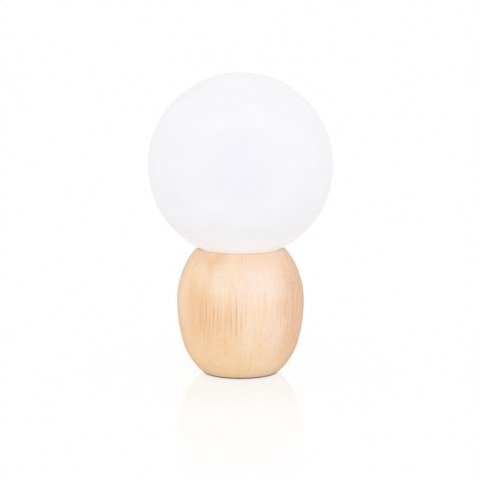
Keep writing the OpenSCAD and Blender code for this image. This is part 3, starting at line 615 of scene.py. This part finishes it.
# Patches of stain and of painted highlight and reflection: the middle, the half sizes, the
# strength and the colour
STAINS_AND_PAINTED_LIGHT = (
    # pale: painted highlight on the right of the upper half, paler on its left and low in
    # the middle, and painted reflection on the left flank
    ((14.5, -46, 77), (24, 44, 26), 0.56, (255, 239, 230)),
    ((-14.6, -47, 79), (17, 34, 22), 0.46, (255, 240, 224)),
    ((6, -50, 41), (12, 34, 30), 0.42, (255, 236, 218)),
    ((-48, -22, 64), (13, 34, 30), 0.50, (252, 228, 206)),
    # stained: the left of the front
    ((-33.5, -40, 64), (14, 34, 27), 0.42, (240, 188, 136)),
    # pale: low on the right
    ((27, -42, 42), (13, 30, 22), 0.40, (252, 230, 216)),
    # stained: under the rim
    ((-25, -30, 98.5), (22, 30, 12), 0.42, (238, 186, 136)),
    ((13, -32, 98), (18, 30, 12), 0.20, (240, 194, 150)))
# The same, where the grain lies open and shows straight dark streaks
OPEN_GRAIN = (
    ((-26, -43, 54), (14, 34, 22), 0.68, (232, 172, 122)),
    ((-7, -50, 53), (13, 34, 22), 0.66, (232, 172, 124)))


def make_turned_wood():
    material, tree, shader, place = finish("turned_wood", colour(249, 216, 180), 0.5)
    figure = use_group(tree, WOOD_FIGURE, place)
    at = split(tree, place)

    # warm on the left, pale towards the upper right: partly as the log varied, partly
    # painted highlight from a lamp at the upper right
    slope = vector_maths(tree, "DOT_PRODUCT", place, (0.0075, 0.0, 0.0085))
    drift = maths(tree, "MULTIPLY_ADD", figure["Bands"], 0.9, slope)
    tone = mixed(tree, between(tree, drift, 0.45, 1.45),
                 colour(*LEFT_TONE), colour(*UPPER_RIGHT_TONE_AND_HIGHLIGHT))
    # paler and yellower towards the foot: painted light that lifts the shade where the wood
    # faces the floor
    foot_painted_light = mixed(tree, between(tree, at["X"], -12.0, 18.0),
                      colour(*FOOT_LEFT_PAINTED_LIGHT), colour(*FOOT_RIGHT_PAINTED_LIGHT))
    tone = mixed(tree, between(tree, at["Z"], 2.0, 46.0, 0.95, 0.0), tone, foot_painted_light)
    # redder and darker on the right flank: partly the wood's tone, partly painted shade on
    # the side away from the light
    right = between(tree, at["X"], 22.0, 46.0)
    tone = mixed(tree, times(tree, right, FLANK_AND_SHADE_SHARE), tone, colour(*FLANK_TONE_AND_SHADE))

    # growth rings, then fibres, which are coarser on the right and weaker at both ends
    darker = mixed(tree, right, colour(*GRAIN_TONE), colour(*RIGHT_GRAIN_TONE))
    tone = mixed(tree, times(tree, figure["Rings"], RING_SHARE), tone, darker)
    stripes = times(tree, between(tree, figure["Fibre"], 0.42, 0.66),
                    between(tree, at["Z"], 76.0, 100.0, 1.0, 0.4),
                    between(tree, at["Z"], 4.0, 34.0, 0.4, 1.0))
    share = maths(tree, "MULTIPLY_ADD", right, RIGHT_FIBRE_SHARE - FIBRE_SHARE, FIBRE_SHARE)
    tone = mixed(tree, times(tree, stripes, share), tone, darker)

    # patches of stain and of painted highlight and reflection, whose ragged edges follow
    # the fibres
    ragged = plus(tree, maths(tree, "MULTIPLY_ADD", figure["Fibre"], 1.3, -0.65),
                  maths(tree, "MULTIPLY_ADD", figure["Bands"], 1.6, -0.8))
    for middle, half_sizes, strength, shade in STAINS_AND_PAINTED_LIGHT:
        tone = stain_and_light_patch(tree, place, tone, ragged, middle, half_sizes, strength,
                       colour(*shade))
    streaks = between(tree, figure["Streaks"], 0.46, 0.62)
    for middle, half_sizes, strength, shade in OPEN_GRAIN:
        tone = stain_and_light_patch(tree, place, tone, ragged, middle, half_sizes,
                       times(tree, streaks, strength), colour(*shade))

    # a fine change of brightness from fibre to fibre, and brown pores
    fine = between(tree, figure["Fine Fibre"], 0.35, 0.65, 0.955, 1.015)
    fine = fed(tree, "ShaderNodeCombineColor", Red=fine, Green=fine, Blue=fine)
    tone = mixed(tree, 1.0, tone, fine.outputs[0], "MULTIPLY")
    tone = mixed(tree, times(tree, figure["Pores"], PORE_SHARE), tone, colour(*PORE_TONE))
    # painted shade: the colour deepens where the surface turns away from the eye
    away = between(tree, facing(tree), 0.5, 1.0)
    tone = mixed(tree, times(tree, away, EDGE_SHADE_SHARE), tone, colour(*EDGE_SHADE_TONE))

    feed(tree, shader.inputs["Base Color"], tone)
    feed(tree, shader.inputs["Roughness"],
         between(tree, figure["Fine Fibre"], 0.2, 0.8, 0.46, 0.56))
    shader.inputs["Specular IOR Level"].default_value = 0.25
    relief = maths(tree, "SUBTRACT", times(tree, figure["Fine Fibre"], 0.5),
                   figure["Pores"])
    bump(tree, shader, relief, 0.03)
    return material


# The glass, and its shade where the bulb stands behind it
GLASS_TONE = (247, 247, 249)
CLOUDED_GLASS_TONE = (245, 245, 247)
BULB_SHADE = (240, 240, 246)
BULB_SHADE_SHARE = 0.7
# Painted glow that the glass gives off low down and at its seat, which lifts the shade of
# the narrow gap to the wood, as linear colours
BLACK = (0, 0, 0, 1)
LOW_PAINTED_GLOW = (0.08, 0.095, 0.10, 1)
SEAT_PAINTED_GLOW = (0.42, 0.48, 0.52, 1)


def make_opal_glass():
    """Cased opal glass with a satin skin. The bulb behind it shows as a faint shade
    where the eye looks straight in."""
    material, tree, shader, place = finish("opal_glass", colour(249, 249, 252), 0.42)
    skin = use_group(tree, FINE_SKIN, place, Size=0.25)
    tone = mixed(tree, between(tree, skin["Cloud"], 0.3, 0.7),
                 colour(*GLASS_TONE), colour(*CLOUDED_GLASS_TONE))
    straight = between(tree, facing(tree), 0.02, 0.13, 1.0, 0.0)
    tone = mixed(tree, times(tree, straight, BULB_SHADE_SHARE), tone, colour(*BULB_SHADE))
    feed(tree, shader.inputs["Base Color"], tone)

    # painted glow low on the ball and brightest at its seat, lifting the shade there
    height = split(tree, place)["Z"]
    low = between(tree, height, Z_TOP, Z_TOP + 20, 1.0, 0.0)
    seat = between(tree, height, Z_TOP - 1, Z_TOP + 2.5, 1.0, 0.0)
    painted_glow = mixed(tree, seat, mixed(tree, low, BLACK, LOW_PAINTED_GLOW), SEAT_PAINTED_GLOW)
    # the neck, which hides in the wood, has no such painted glow
    above = between(tree, height, Z_TOP - 4.5, Z_TOP - 1.5)
    feed(tree, shader.inputs["Emission Color"], mixed(tree, above, BLACK, painted_glow))
    shader.inputs["Emission Strength"].default_value = 1.0

    feed(tree, shader.inputs["Roughness"],
         between(tree, skin["Cloud"], 0.3, 0.7, 0.40, 0.46))
    shader.inputs["Specular IOR Level"].default_value = 0.3
    bump(tree, shader, skin["Height"], 0.004)
    return material


def make_felt():
    material, tree, shader, place = finish("brown_felt", colour(120, 92, 76), 0.95)
    fibres = use_group(tree, FELT_FIBRES, place)
    tone = mixed(tree, fibres["Height"], colour(122, 92, 74), colour(178, 144, 122))
    feed(tree, shader.inputs["Base Color"], tone)
    shader.inputs["Sheen Weight"].default_value = 0.25
    bump(tree, shader, fibres["Height"], 0.12)
    return material


def make_metal(name, base, stain, roughness, lines, depth):
    """Turned or plated metal with its tool lines and a little tarnish."""
    base, stain = colour(*base), colour(*stain)
    material, tree, shader, place = finish(name, base, roughness, 1.0)
    marks = use_group(tree, TURNING_LINES, place, Lines_per_mm=lines)
    dull = between(tree, marks["Stain"], 0.42, 0.72)
    feed(tree, shader.inputs["Base Color"], mixed(tree, dull, base, stain))
    feed(tree, shader.inputs["Roughness"],
         between(tree, marks["Stain"], 0.3, 0.75, roughness - 0.06, roughness + 0.12))
    bump(tree, shader, marks["Height"], depth)
    return material


def make_moulded(name, base, shadow, roughness, size, depth, coat):
    """Moulded plastic, rubber or glazed ceramic with its skin and slow change of tone."""
    base, shadow = colour(*base), colour(*shadow)
    material, tree, shader, place = finish(name, base, roughness)
    skin = use_group(tree, FINE_SKIN, place, Size=size)
    cloud = between(tree, skin["Cloud"], 0.35, 0.7)
    feed(tree, shader.inputs["Base Color"], mixed(tree, cloud, base, shadow))
    feed(tree, shader.inputs["Roughness"],
         between(tree, skin["Cloud"], 0.3, 0.7, roughness - 0.04, roughness + 0.05))
    shader.inputs["Coat Weight"].default_value = coat
    bump(tree, shader, skin["Height"], depth)
    return material


# Name, colour, colour where it is dull, roughness, tool lines in a mm, their depth
METALS = (
    ("zinc_steel", (206, 208, 212), (176, 180, 186), 0.34, 5, 0.006),
    ("yellow_brass", (226, 190, 118), (190, 148, 84), 0.30, 7, 0.006),
    ("cup_steel", (214, 215, 217), (190, 192, 196), 0.30, 4, 0.006),
    ("spring_steel", (196, 199, 204), (160, 165, 174), 0.22, 9, 0.003),
    ("weight_steel", (92, 93, 96), (66, 66, 69), 0.5, 2, 0.02),
    ("bulb_metal", (220, 221, 223), (198, 199, 202), 0.26, 6, 0.006),
    ("board_white", (232, 232, 230), (216, 216, 214), 0.5, 3, 0.006))

# Name, colour, second colour, roughness, size of the skin's grain, its depth, glaze
MOULDED = (
    ("seat_rubber", (222, 204, 186), (212, 194, 176), 0.6, 0.3, 0.012, 0.0),
    ("holder_plastic", (240, 238, 232), (234, 231, 223), 0.36, 0.4, 0.012, 0.0),
    ("carrier_ceramic", (242, 242, 238), (234, 233, 226), 0.22, 0.8, 0.01, 0.5),
    ("bulb_black", (26, 26, 28), (18, 18, 19), 0.2, 0.5, 0.004, 0.0),
    ("bulb_plastic", (240, 240, 241), (236, 236, 238), 0.3, 0.5, 0.006, 0.0),
    ("bulb_opal", (244, 244, 245), (241, 241, 243), 0.4, 0.3, 0.006, 0.0),
    ("chip_yellow", (240, 214, 96), (232, 196, 66), 0.25, 0.6, 0.005, 0.6),
    ("board_green", (52, 112, 70), (40, 96, 58), 0.4, 0.6, 0.012, 0.0),
    ("bush_plastic", (238, 236, 230), (232, 229, 221), 0.4, 0.3, 0.012, 0.0),
    ("block_plastic", (240, 240, 237), (232, 232, 227), 0.45, 0.3, 0.012, 0.0),
    ("brown_sheath", (118, 72, 44), (104, 62, 38), 0.42, 0.6, 0.012, 0.0),
    ("blue_sheath", (46, 96, 176), (38, 84, 160), 0.42, 0.6, 0.012, 0.0))

FINISHES = {"turned_wood": make_turned_wood(), "opal_glass": make_opal_glass(),
            "brown_felt": make_felt()}
FINISHES |= {row[0]: make_metal(*row) for row in METALS}
FINISHES |= {row[0]: make_moulded(*row) for row in MOULDED}


# The turned wooden base

def make_base():
    belly_z = Z_WOOD + BELLY_H
    shelf_z = Z_TOP - SHELF_H
    upper = half_outline(RIM_R, BASE_H - BELLY_H, SHOULDER_FROM, SHOULDER_SHARE, RIM_ROUND)
    lower = half_outline(FOOT_R, BELLY_H, FOOT_FROM, FOOT_SHARE, FOOT_ROUND)
    inside = eased([
        (SEAT_R + RIM_CHAMFER, Z_TOP, 0.1),
        (SEAT_R, Z_TOP - RIM_CHAMFER, 0.1),
        (SEAT_R, shelf_z, 0.1),
        (WELL_R, shelf_z, 0.4),
        (WELL_R, Z_WELL, 0.5),
        (TUBE_HOLE_R, Z_WELL, 0.3),
        (TUBE_HOLE_R, Z_ROOF, 0.3),
        (CHAMBER_R, Z_ROOF, 0.8),
        (CHAMBER_R, Z_WEIGHT, 0.3),
        (WEIGHT_HOLE_R, Z_WEIGHT, 0.3),
        (WEIGHT_HOLE_R, Z_WOOD, 0.2),
        (FOOT_R - 1.5, Z_WOOD, 0)])
    return turned([(r, belly_z + up) for r, up in upper] + inside
                  + [(r, belly_z - down) for r, down in reversed(lower[1:])], steps=256)


def bored(piece, cutters):
    """Cuts turned or straight cutters out of a piece, for good."""
    for cutter in cutters:
        change = piece.modifiers.new("bore", "BOOLEAN")
        change.operation = "DIFFERENCE"
        change.solver = "EXACT"
        change.object = cutter
    bpy.context.view_layer.update()
    shaped = bpy.data.meshes.new_from_object(
        piece.evaluated_get(bpy.context.evaluated_depsgraph_get()))
    piece.modifiers.clear()
    piece.data = shaped
    for cutter in cutters:
        bpy.data.objects.remove(cutter)


def cutter_along_y(outline, centre_z):
    """A turned solid laid along +Y at a height, to cut a hole with."""
    mesh = turned(outline, steps=64)
    bmesh.ops.remove_doubles(mesh, verts=mesh.verts, dist=SAME_POINT)
    bmesh.ops.rotate(mesh, verts=mesh.verts, cent=(0, 0, 0),
                     matrix=Matrix.Rotation(-pi / 2, 3, "X"))
    bmesh.ops.translate(mesh, verts=mesh.verts, vec=(0, 0, centre_z * MM))
    bmesh.ops.recalc_face_normals(mesh, faces=mesh.faces)
    return placed("cutter", mesh_data("cutter", mesh))


def make_cord_hole():
    """Cuts the hole for the bush, from inside the chamber to outside the wood, with a
    flat for its flange."""
    flat_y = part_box("cord_bush")[1].y / MM - BUSH_FLANGE_T
    start_y, end_y = 10, 60
    return cutter_along_y([
        (0, start_y), (BUSH_HOLE_R, start_y), (BUSH_HOLE_R, flat_y),
        (BUSH_FLANGE_HOLE_R, flat_y), (BUSH_FLANGE_HOLE_R, end_y), (0, end_y)],
        Z_WOOD + CORD_H)


base = finish_piece("turned_base", make_base(), "base", "turned_wood", ["wood_base"])
bored(base, [make_cord_hole()])


# The opal globe with its neck

def make_globe():
    fillet_r = NECK_R + NECK_FILLET
    fillet_z = Z_GLOBE - sqrt((GLOBE_R + NECK_FILLET) ** 2 - fillet_r ** 2)
    touch = degrees(atan2(fillet_z - Z_GLOBE, fillet_r))
    inner_r = NECK_R - NECK_T
    inner_ball = GLOBE_R - GLASS_T
    inner_meet = degrees(atan2(-sqrt(inner_ball ** 2 - inner_r ** 2), inner_r))
    bead = NECK_T / 2
    outside = arc((0, Z_GLOBE), GLOBE_R, 90, touch, 96)[:-1]
    hollow = arc((fillet_r, fillet_z), NECK_FILLET, 180 + touch, 180, 8)
    end = arc((NECK_R - bead, Z_NECK_END + bead), bead, 0, -180, 12)
    inside = arc((0, Z_GLOBE), inner_ball, inner_meet, 90, 80)
    return turned(outside + hollow + end + inside, steps=224)


finish_piece("opal_globe", make_globe(), "globe", "opal_glass", ["glass_globe"])


# The felt under the foot

def make_felt_disc():
    radius = FOOT_R - FELT_INSET
    return turned(eased([(0, 0, 0), (radius, 0, 0.45), (radius, FELT_T, 0.15),
                         (0, FELT_T, 0)]), steps=128)


finish_piece("felt_disc", make_felt_disc(), "base", "brown_felt", ["felt_pad"])


# The leaf springs that hold the neck, bowed out of the spring cup

def make_leaf_springs():
    inner = CUP_R + LEAF_T / 2
    corner_r = NECK_R - NECK_T - LEAF_CLEAR
    outer = sqrt(corner_r ** 2 - (LEAF_W / 2) ** 2) - LEAF_T / 2
    top = inner + LEAF_TOP_OUT
    # straight on the cup, then out to the glass, then back in
    path = [(inner, LEAF_FOOT)]
    path += cubic((inner, 8), (inner, 10), (outer, 10), (outer, LEAF_PEAK), 20)
    path += cubic((outer, LEAF_PEAK), (outer, 17), (top, 18), (top, LEAF_TOP), 20)[1:]
    mesh = bmesh.new()
    for turn in (30, 150, 270):
        verts = [mesh.verts.new((r * MM, -LEAF_W / 2 * MM, (Z_WELL + z) * MM))
                 for r, z in path]
        edges = [mesh.edges.new(pair) for pair in zip(verts, verts[1:])]
        grown = bmesh.ops.extrude_edge_only(mesh, edges=edges)["geom"]
        across = [item for item in grown if isinstance(item, bmesh.types.BMVert)]
        bmesh.ops.translate(mesh, verts=across, vec=(0, LEAF_W * MM, 0))
        sheet = [item for item in grown if isinstance(item, bmesh.types.BMFace)]
        bmesh.ops.recalc_face_normals(mesh, faces=sheet)
        mesh.normal_update()
        # the sheet is thickened to one side, so it starts half a leaf to the other
        for vert in verts + across:
            vert.co += vert.normal * LEAF_T / 2 * MM
        thick = bmesh.ops.solidify(mesh, geom=sheet, thickness=LEAF_T * MM)["geom"]
        solid = {vert for item in thick if isinstance(item, bmesh.types.BMFace)
                 for vert in item.verts}
        solid |= set(verts) | set(across)
        bmesh.ops.rotate(mesh, verts=list(solid), cent=(0, 0, 0),
                         matrix=Matrix.Rotation(radians(turn), 3, "Z"))
    return mesh


finish_piece("bowed_springs", make_leaf_springs(), "base", "spring_steel",
             ["leaf_springs"], smooth_below=30)


# The threaded tube that ties the base together, and the two wires that it leads up

def make_tube():
    low, high = Z_TUBE_LOW + TUBE_CHAMFER, Z_TUBE_TOP - TUBE_CHAMFER
    end_r = TUBE_R - TUBE_CHAMFER
    mesh = turned([(TUBE_BORE_R, Z_TUBE_TOP), (TUBE_BORE_R, Z_TUBE_LOW),
                   (end_r, Z_TUBE_LOW)] + stepped(TUBE_R, low, high, steps=640)
                  + [(end_r, Z_TUBE_TOP)], steps=48)
    cut_thread(mesh, TUBE_R, low, high, TUBE_PITCH, TUBE_THREAD)
    return mesh


def wire_route(side):
    """Out of the terminal block, round and up into the tube, and out of its top to
    the lampholder."""
    pole_z = Z_WEIGHT + POLE_H
    block_end = BLOCK_Y - BLOCK_L / 2
    low = Z_SPIGOT - CARRIER_SINK
    return [(side * x, y, z) for x, y, z in (
        (POLE_X, BLOCK_Y - 3, pole_z),
        (POLE_X, block_end, pole_z),
        (POLE_X, block_end - 1.5, pole_z + 0.3),
        (POLE_X * 0.9, block_end - 3.4, pole_z + 3),
        (POLE_X * 0.7, block_end - 2.6, pole_z + 6.8),
        (POLE_X * 0.5, BLOCK_Y - 4.5, Z_TUBE_LOW - 3.4),
        (1.9, BLOCK_Y + 2, Z_TUBE_LOW - 3),
        (1.8, -0.6, Z_TUBE_LOW - 0.6),
        (1.8, 0, Z_TUBE_LOW + 3),
        (1.8, 0, Z_TUBE_LOW + 15),
        (1.8, 0, (Z_TUBE_LOW + Z_TUBE_TOP) / 2),
        (1.8, 0, Z_TUBE_TOP - 15),
        (1.8, 0, Z_TUBE_TOP - 2),
        (2.4, 0, Z_TUBE_TOP + 1.2),
        (6.2, 0, low - 2.4),
        (TERMINAL_X, 0, low),
        (TERMINAL_X, 0, Z_SPIGOT - 0.6))]


def smooth_route(route, cuts):
    """A curve through the points of a route, in short steps."""
    last = len(route) - 1
    points = []
    for i in range(last):
        a, b, c, d = (Vector(route[min(max(k, 0), last)])
                      for k in (i - 1, i, i + 1, i + 2))
        points += cubic(b, b + (c - a) / 6, c - (d - b) / 6, c, cuts)[:-1]
    return points + [route[-1]]


finish_piece("brass_tube", make_tube(), "base", "yellow_brass", ["threaded_tube"],
             smooth_below=60)
for name, node, slot, side in (("brown_wire", "live_wire", "brown_sheath", 1),
                               ("blue_wire", "neutral_wire", "blue_sheath", -1)):
    finish_piece(name, swept(smooth_route(wire_route(side), cuts=8), WIRE_R), "base",
                 slot, [node], smooth_below=50)


# The bulb: opal dome, plastic neck, threaded cap and black insulator

def make_dome():
    edge = degrees(atan2(Z_DOME - Z_BALL, DOME_EDGE_R))
    edge_in = degrees(atan2(Z_DOME - Z_BALL, DOME_EDGE_IN))
    return turned(arc((0, Z_BALL), BULB_R, edge, 90, 56)
                  + arc((0, Z_BALL), BULB_R - DOME_T, 90, edge_in, 48), steps=128)


def make_neck():
    """A spigot in the cap, a neck that swells to the edge of the dome, and a step
    inside it that carries the light board. Its curves are those of the solid."""
    board_z = Z_DOME - BOARD_SEAT
    spigot_r = CAP_BORE_R - 0.1
    spigot_z = Z_FLANGE - HOUSING_SPIGOT
    outer = cubic((FLANGE_R + 0.3, Z_FLANGE + 3), (FLANGE_R + 0.8, Z_FLANGE + 11),
                  (DOME_EDGE_R - 4.6, Z_DOME - 9.5), (DOME_EDGE_R, Z_DOME), 40)
    inner = cubic((DOME_EDGE_IN - 2 * HOUSING_T, board_z),
                  (DOME_EDGE_IN - 6.4, Z_DOME - 9.5),
                  (FLANGE_R - HOUSING_T, Z_FLANGE + 11),
                  (CAP_BORE_R - HOUSING_T, Z_FLANGE + 3), 32)
    return turned([(spigot_r, spigot_z), (spigot_r, Z_FLANGE), (FLANGE_R - 0.3, Z_FLANGE),
                   (FLANGE_R, Z_FLANGE + 0.3)] + outer
                  + [(DOME_EDGE_IN, Z_DOME), (DOME_EDGE_IN, Z_DOME - 0.6),
                     (DOME_EDGE_IN - 1, board_z)] + inner
                  + [(CAP_BORE_R - HOUSING_T, spigot_z)], steps=128)


def make_cap():
    low, high = Z_SCREW + 0.4, Z_FLANGE - 2.6
    mesh = turned([(CAP_BORE_R, Z_FLANGE), (CAP_BORE_R, Z_SCREW),
                   (SCREW_R - SCREW_CHAMFER, Z_SCREW)]
                  + stepped(SCREW_R, low, high, steps=72)
                  + eased([(SCREW_R, Z_FLANGE - 2.4, 0.1), (FLANGE_R, Z_FLANGE - 0.6, 0.3),
                           (FLANGE_R, Z_FLANGE, 0.15)]), steps=96)
    cut_thread(mesh, SCREW_R, low, high, BULB_PITCH, BULB_THREAD)
    return mesh


def make_insulator():
    low, plug_z = Z_BULB + BUTTON_H, Z_SCREW + PLUG_H
    return turned(eased([
        (0, low, 0), (BUTTON_R + 0.6, low, 0.3), (SCREW_R - 1.1, low + 2.4, 0.5),
        (SCREW_R - 0.7, Z_SCREW, 0), (CAP_BORE_R, Z_SCREW, 0), (CAP_BORE_R, plug_z, 0),
        (0, plug_z, 0)]), steps=96)


finish_piece("opal_dome", make_dome(), "bulb", "bulb_opal", ["bulb_dome"])
finish_piece("bulb_neck", make_neck(), "bulb", "bulb_plastic", ["bulb_housing"])
finish_piece("threaded_cap", make_cap(), "bulb", "bulb_metal", ["bulb_screw_cap"],
             smooth_below=60)
finish_piece("black_insulator", make_insulator(), "bulb", "bulb_black", ["bulb_insulator"])


# CAD nodes that keep their shape take the finish of their slot

for part in frame["record"]["subparts"]:
    node = frame["nodes"][part["node"]]
    node.data.materials.clear()
    node.data.materials.append(FINISHES[part["material_slot"]])


# Floor, light and camera, in metres and linear colours

WHITE = (1, 1, 1, 1)
FLOOR_HALF = 30
FLOOR_TONE = (0.95, 0.95, 0.95, 1)
FLOOR_SHOWN = 0.92
STUDIO_TONE = (0.97, 0.97, 0.98, 1)
LIT_POINT = (0, 0, 0.12)
CAMERA_PLACE = (-0.0004, -1.46, 0.318)
CAMERA_LOOKS_AT = (-0.0004, 0, 0.1089)
CAMERA_ANGLE = 15.095
SENSOR_WIDTH = 36


def seen_rays(tree):
    """1 for the rays that show a thing: to the eye, in a mirror or through glass."""
    rays = add(tree, "ShaderNodeLightPath").outputs
    return maths(tree, "MAXIMUM", rays["Is Camera Ray"],
                 maths(tree, "MAXIMUM", rays["Is Glossy Ray"], rays["Is Transmission Ray"]))


def make_floor():
    """A pale floor that shows white, keeps the shadow and mirrors the lamp faintly
    near its foot."""
    mesh = bmesh.new()
    bmesh.ops.create_grid(mesh, x_segments=1, y_segments=1, size=FLOOR_HALF)
    floor = placed("floor", mesh_data("floor", mesh))
    material = bpy.data.materials.new("pale_floor")
    material.use_nodes = True
    tree = material.node_tree
    tree.nodes.clear()
    matt = fed(tree, "ShaderNodeBsdfDiffuse", Color=FLOOR_TONE)
    white = add(tree, "ShaderNodeEmission")
    shown = mixed_shaders(tree, times(tree, seen_rays(tree), FLOOR_SHOWN), matt, white)
    mirror = fed(tree, "ShaderNodeBsdfGlossy", Color=WHITE, Roughness=0.05)
    # the mirroring is strong under the lamp and fades as the floor runs on
    where = add(tree, "ShaderNodeTexCoord")
    reach = vector_maths(tree, "LENGTH", where.outputs["Object"])
    shine = plus(tree, between(tree, reach, 0.08, 0.15, 0.11, 0.0),
                 between(tree, reach, 0.12, 0.45, 0.05, 0.0))
    surface = mixed_shaders(tree, shine, shown, mirror)
    fed(tree, "ShaderNodeOutputMaterial", Surface=surface.outputs[0])
    floor.data.materials.append(material)


def make_world():
    """An even studio: white to the camera and in reflections, soft light elsewhere."""
    world = bpy.data.worlds.new("studio")
    bpy.context.scene.world = world
    world.use_nodes = True
    tree = world.node_tree
    tree.nodes.clear()
    soft = fed(tree, "ShaderNodeBackground", Color=STUDIO_TONE)
    white = fed(tree, "ShaderNodeBackground", Color=WHITE)
    studio = mixed_shaders(tree, seen_rays(tree), soft, white)
    fed(tree, "ShaderNodeOutputWorld", Surface=studio.outputs[0])


def aimed(name, data, place, target):
    """Stands a lamp or camera at a place and turns it to a target."""
    item = placed(name, data)
    item.location = place
    ahead = Vector(target) - Vector(place)
    item.rotation_euler = ahead.to_track_quat("-Z", "Y").to_euler()
    return item


def soft_box(name, place, size, power):
    """A square studio lamp that faces the middle of the object."""
    light = bpy.data.lights.new(name, "AREA")
    light.size = size
    light.energy = power
    aimed(name, light, place, LIT_POINT)


def make_camera():
    """Stands a little above the lamp, in front of it."""
    data = bpy.data.cameras.new("camera")
    data.sensor_width = SENSOR_WIDTH
    data.lens = SENSOR_WIDTH / 2 / tan(radians(CAMERA_ANGLE / 2))
    bpy.context.scene.camera = aimed("camera", data, CAMERA_PLACE, CAMERA_LOOKS_AT)


make_floor()
make_world()
soft_box("key", (0.95, -1.7, 0.95), size=1.0, power=1.5)
soft_box("fill", (-0.6, -1.9, 0.10), size=0.9, power=2.0)
make_camera()
bpy.context.scene.view_settings.view_transform = "Standard"
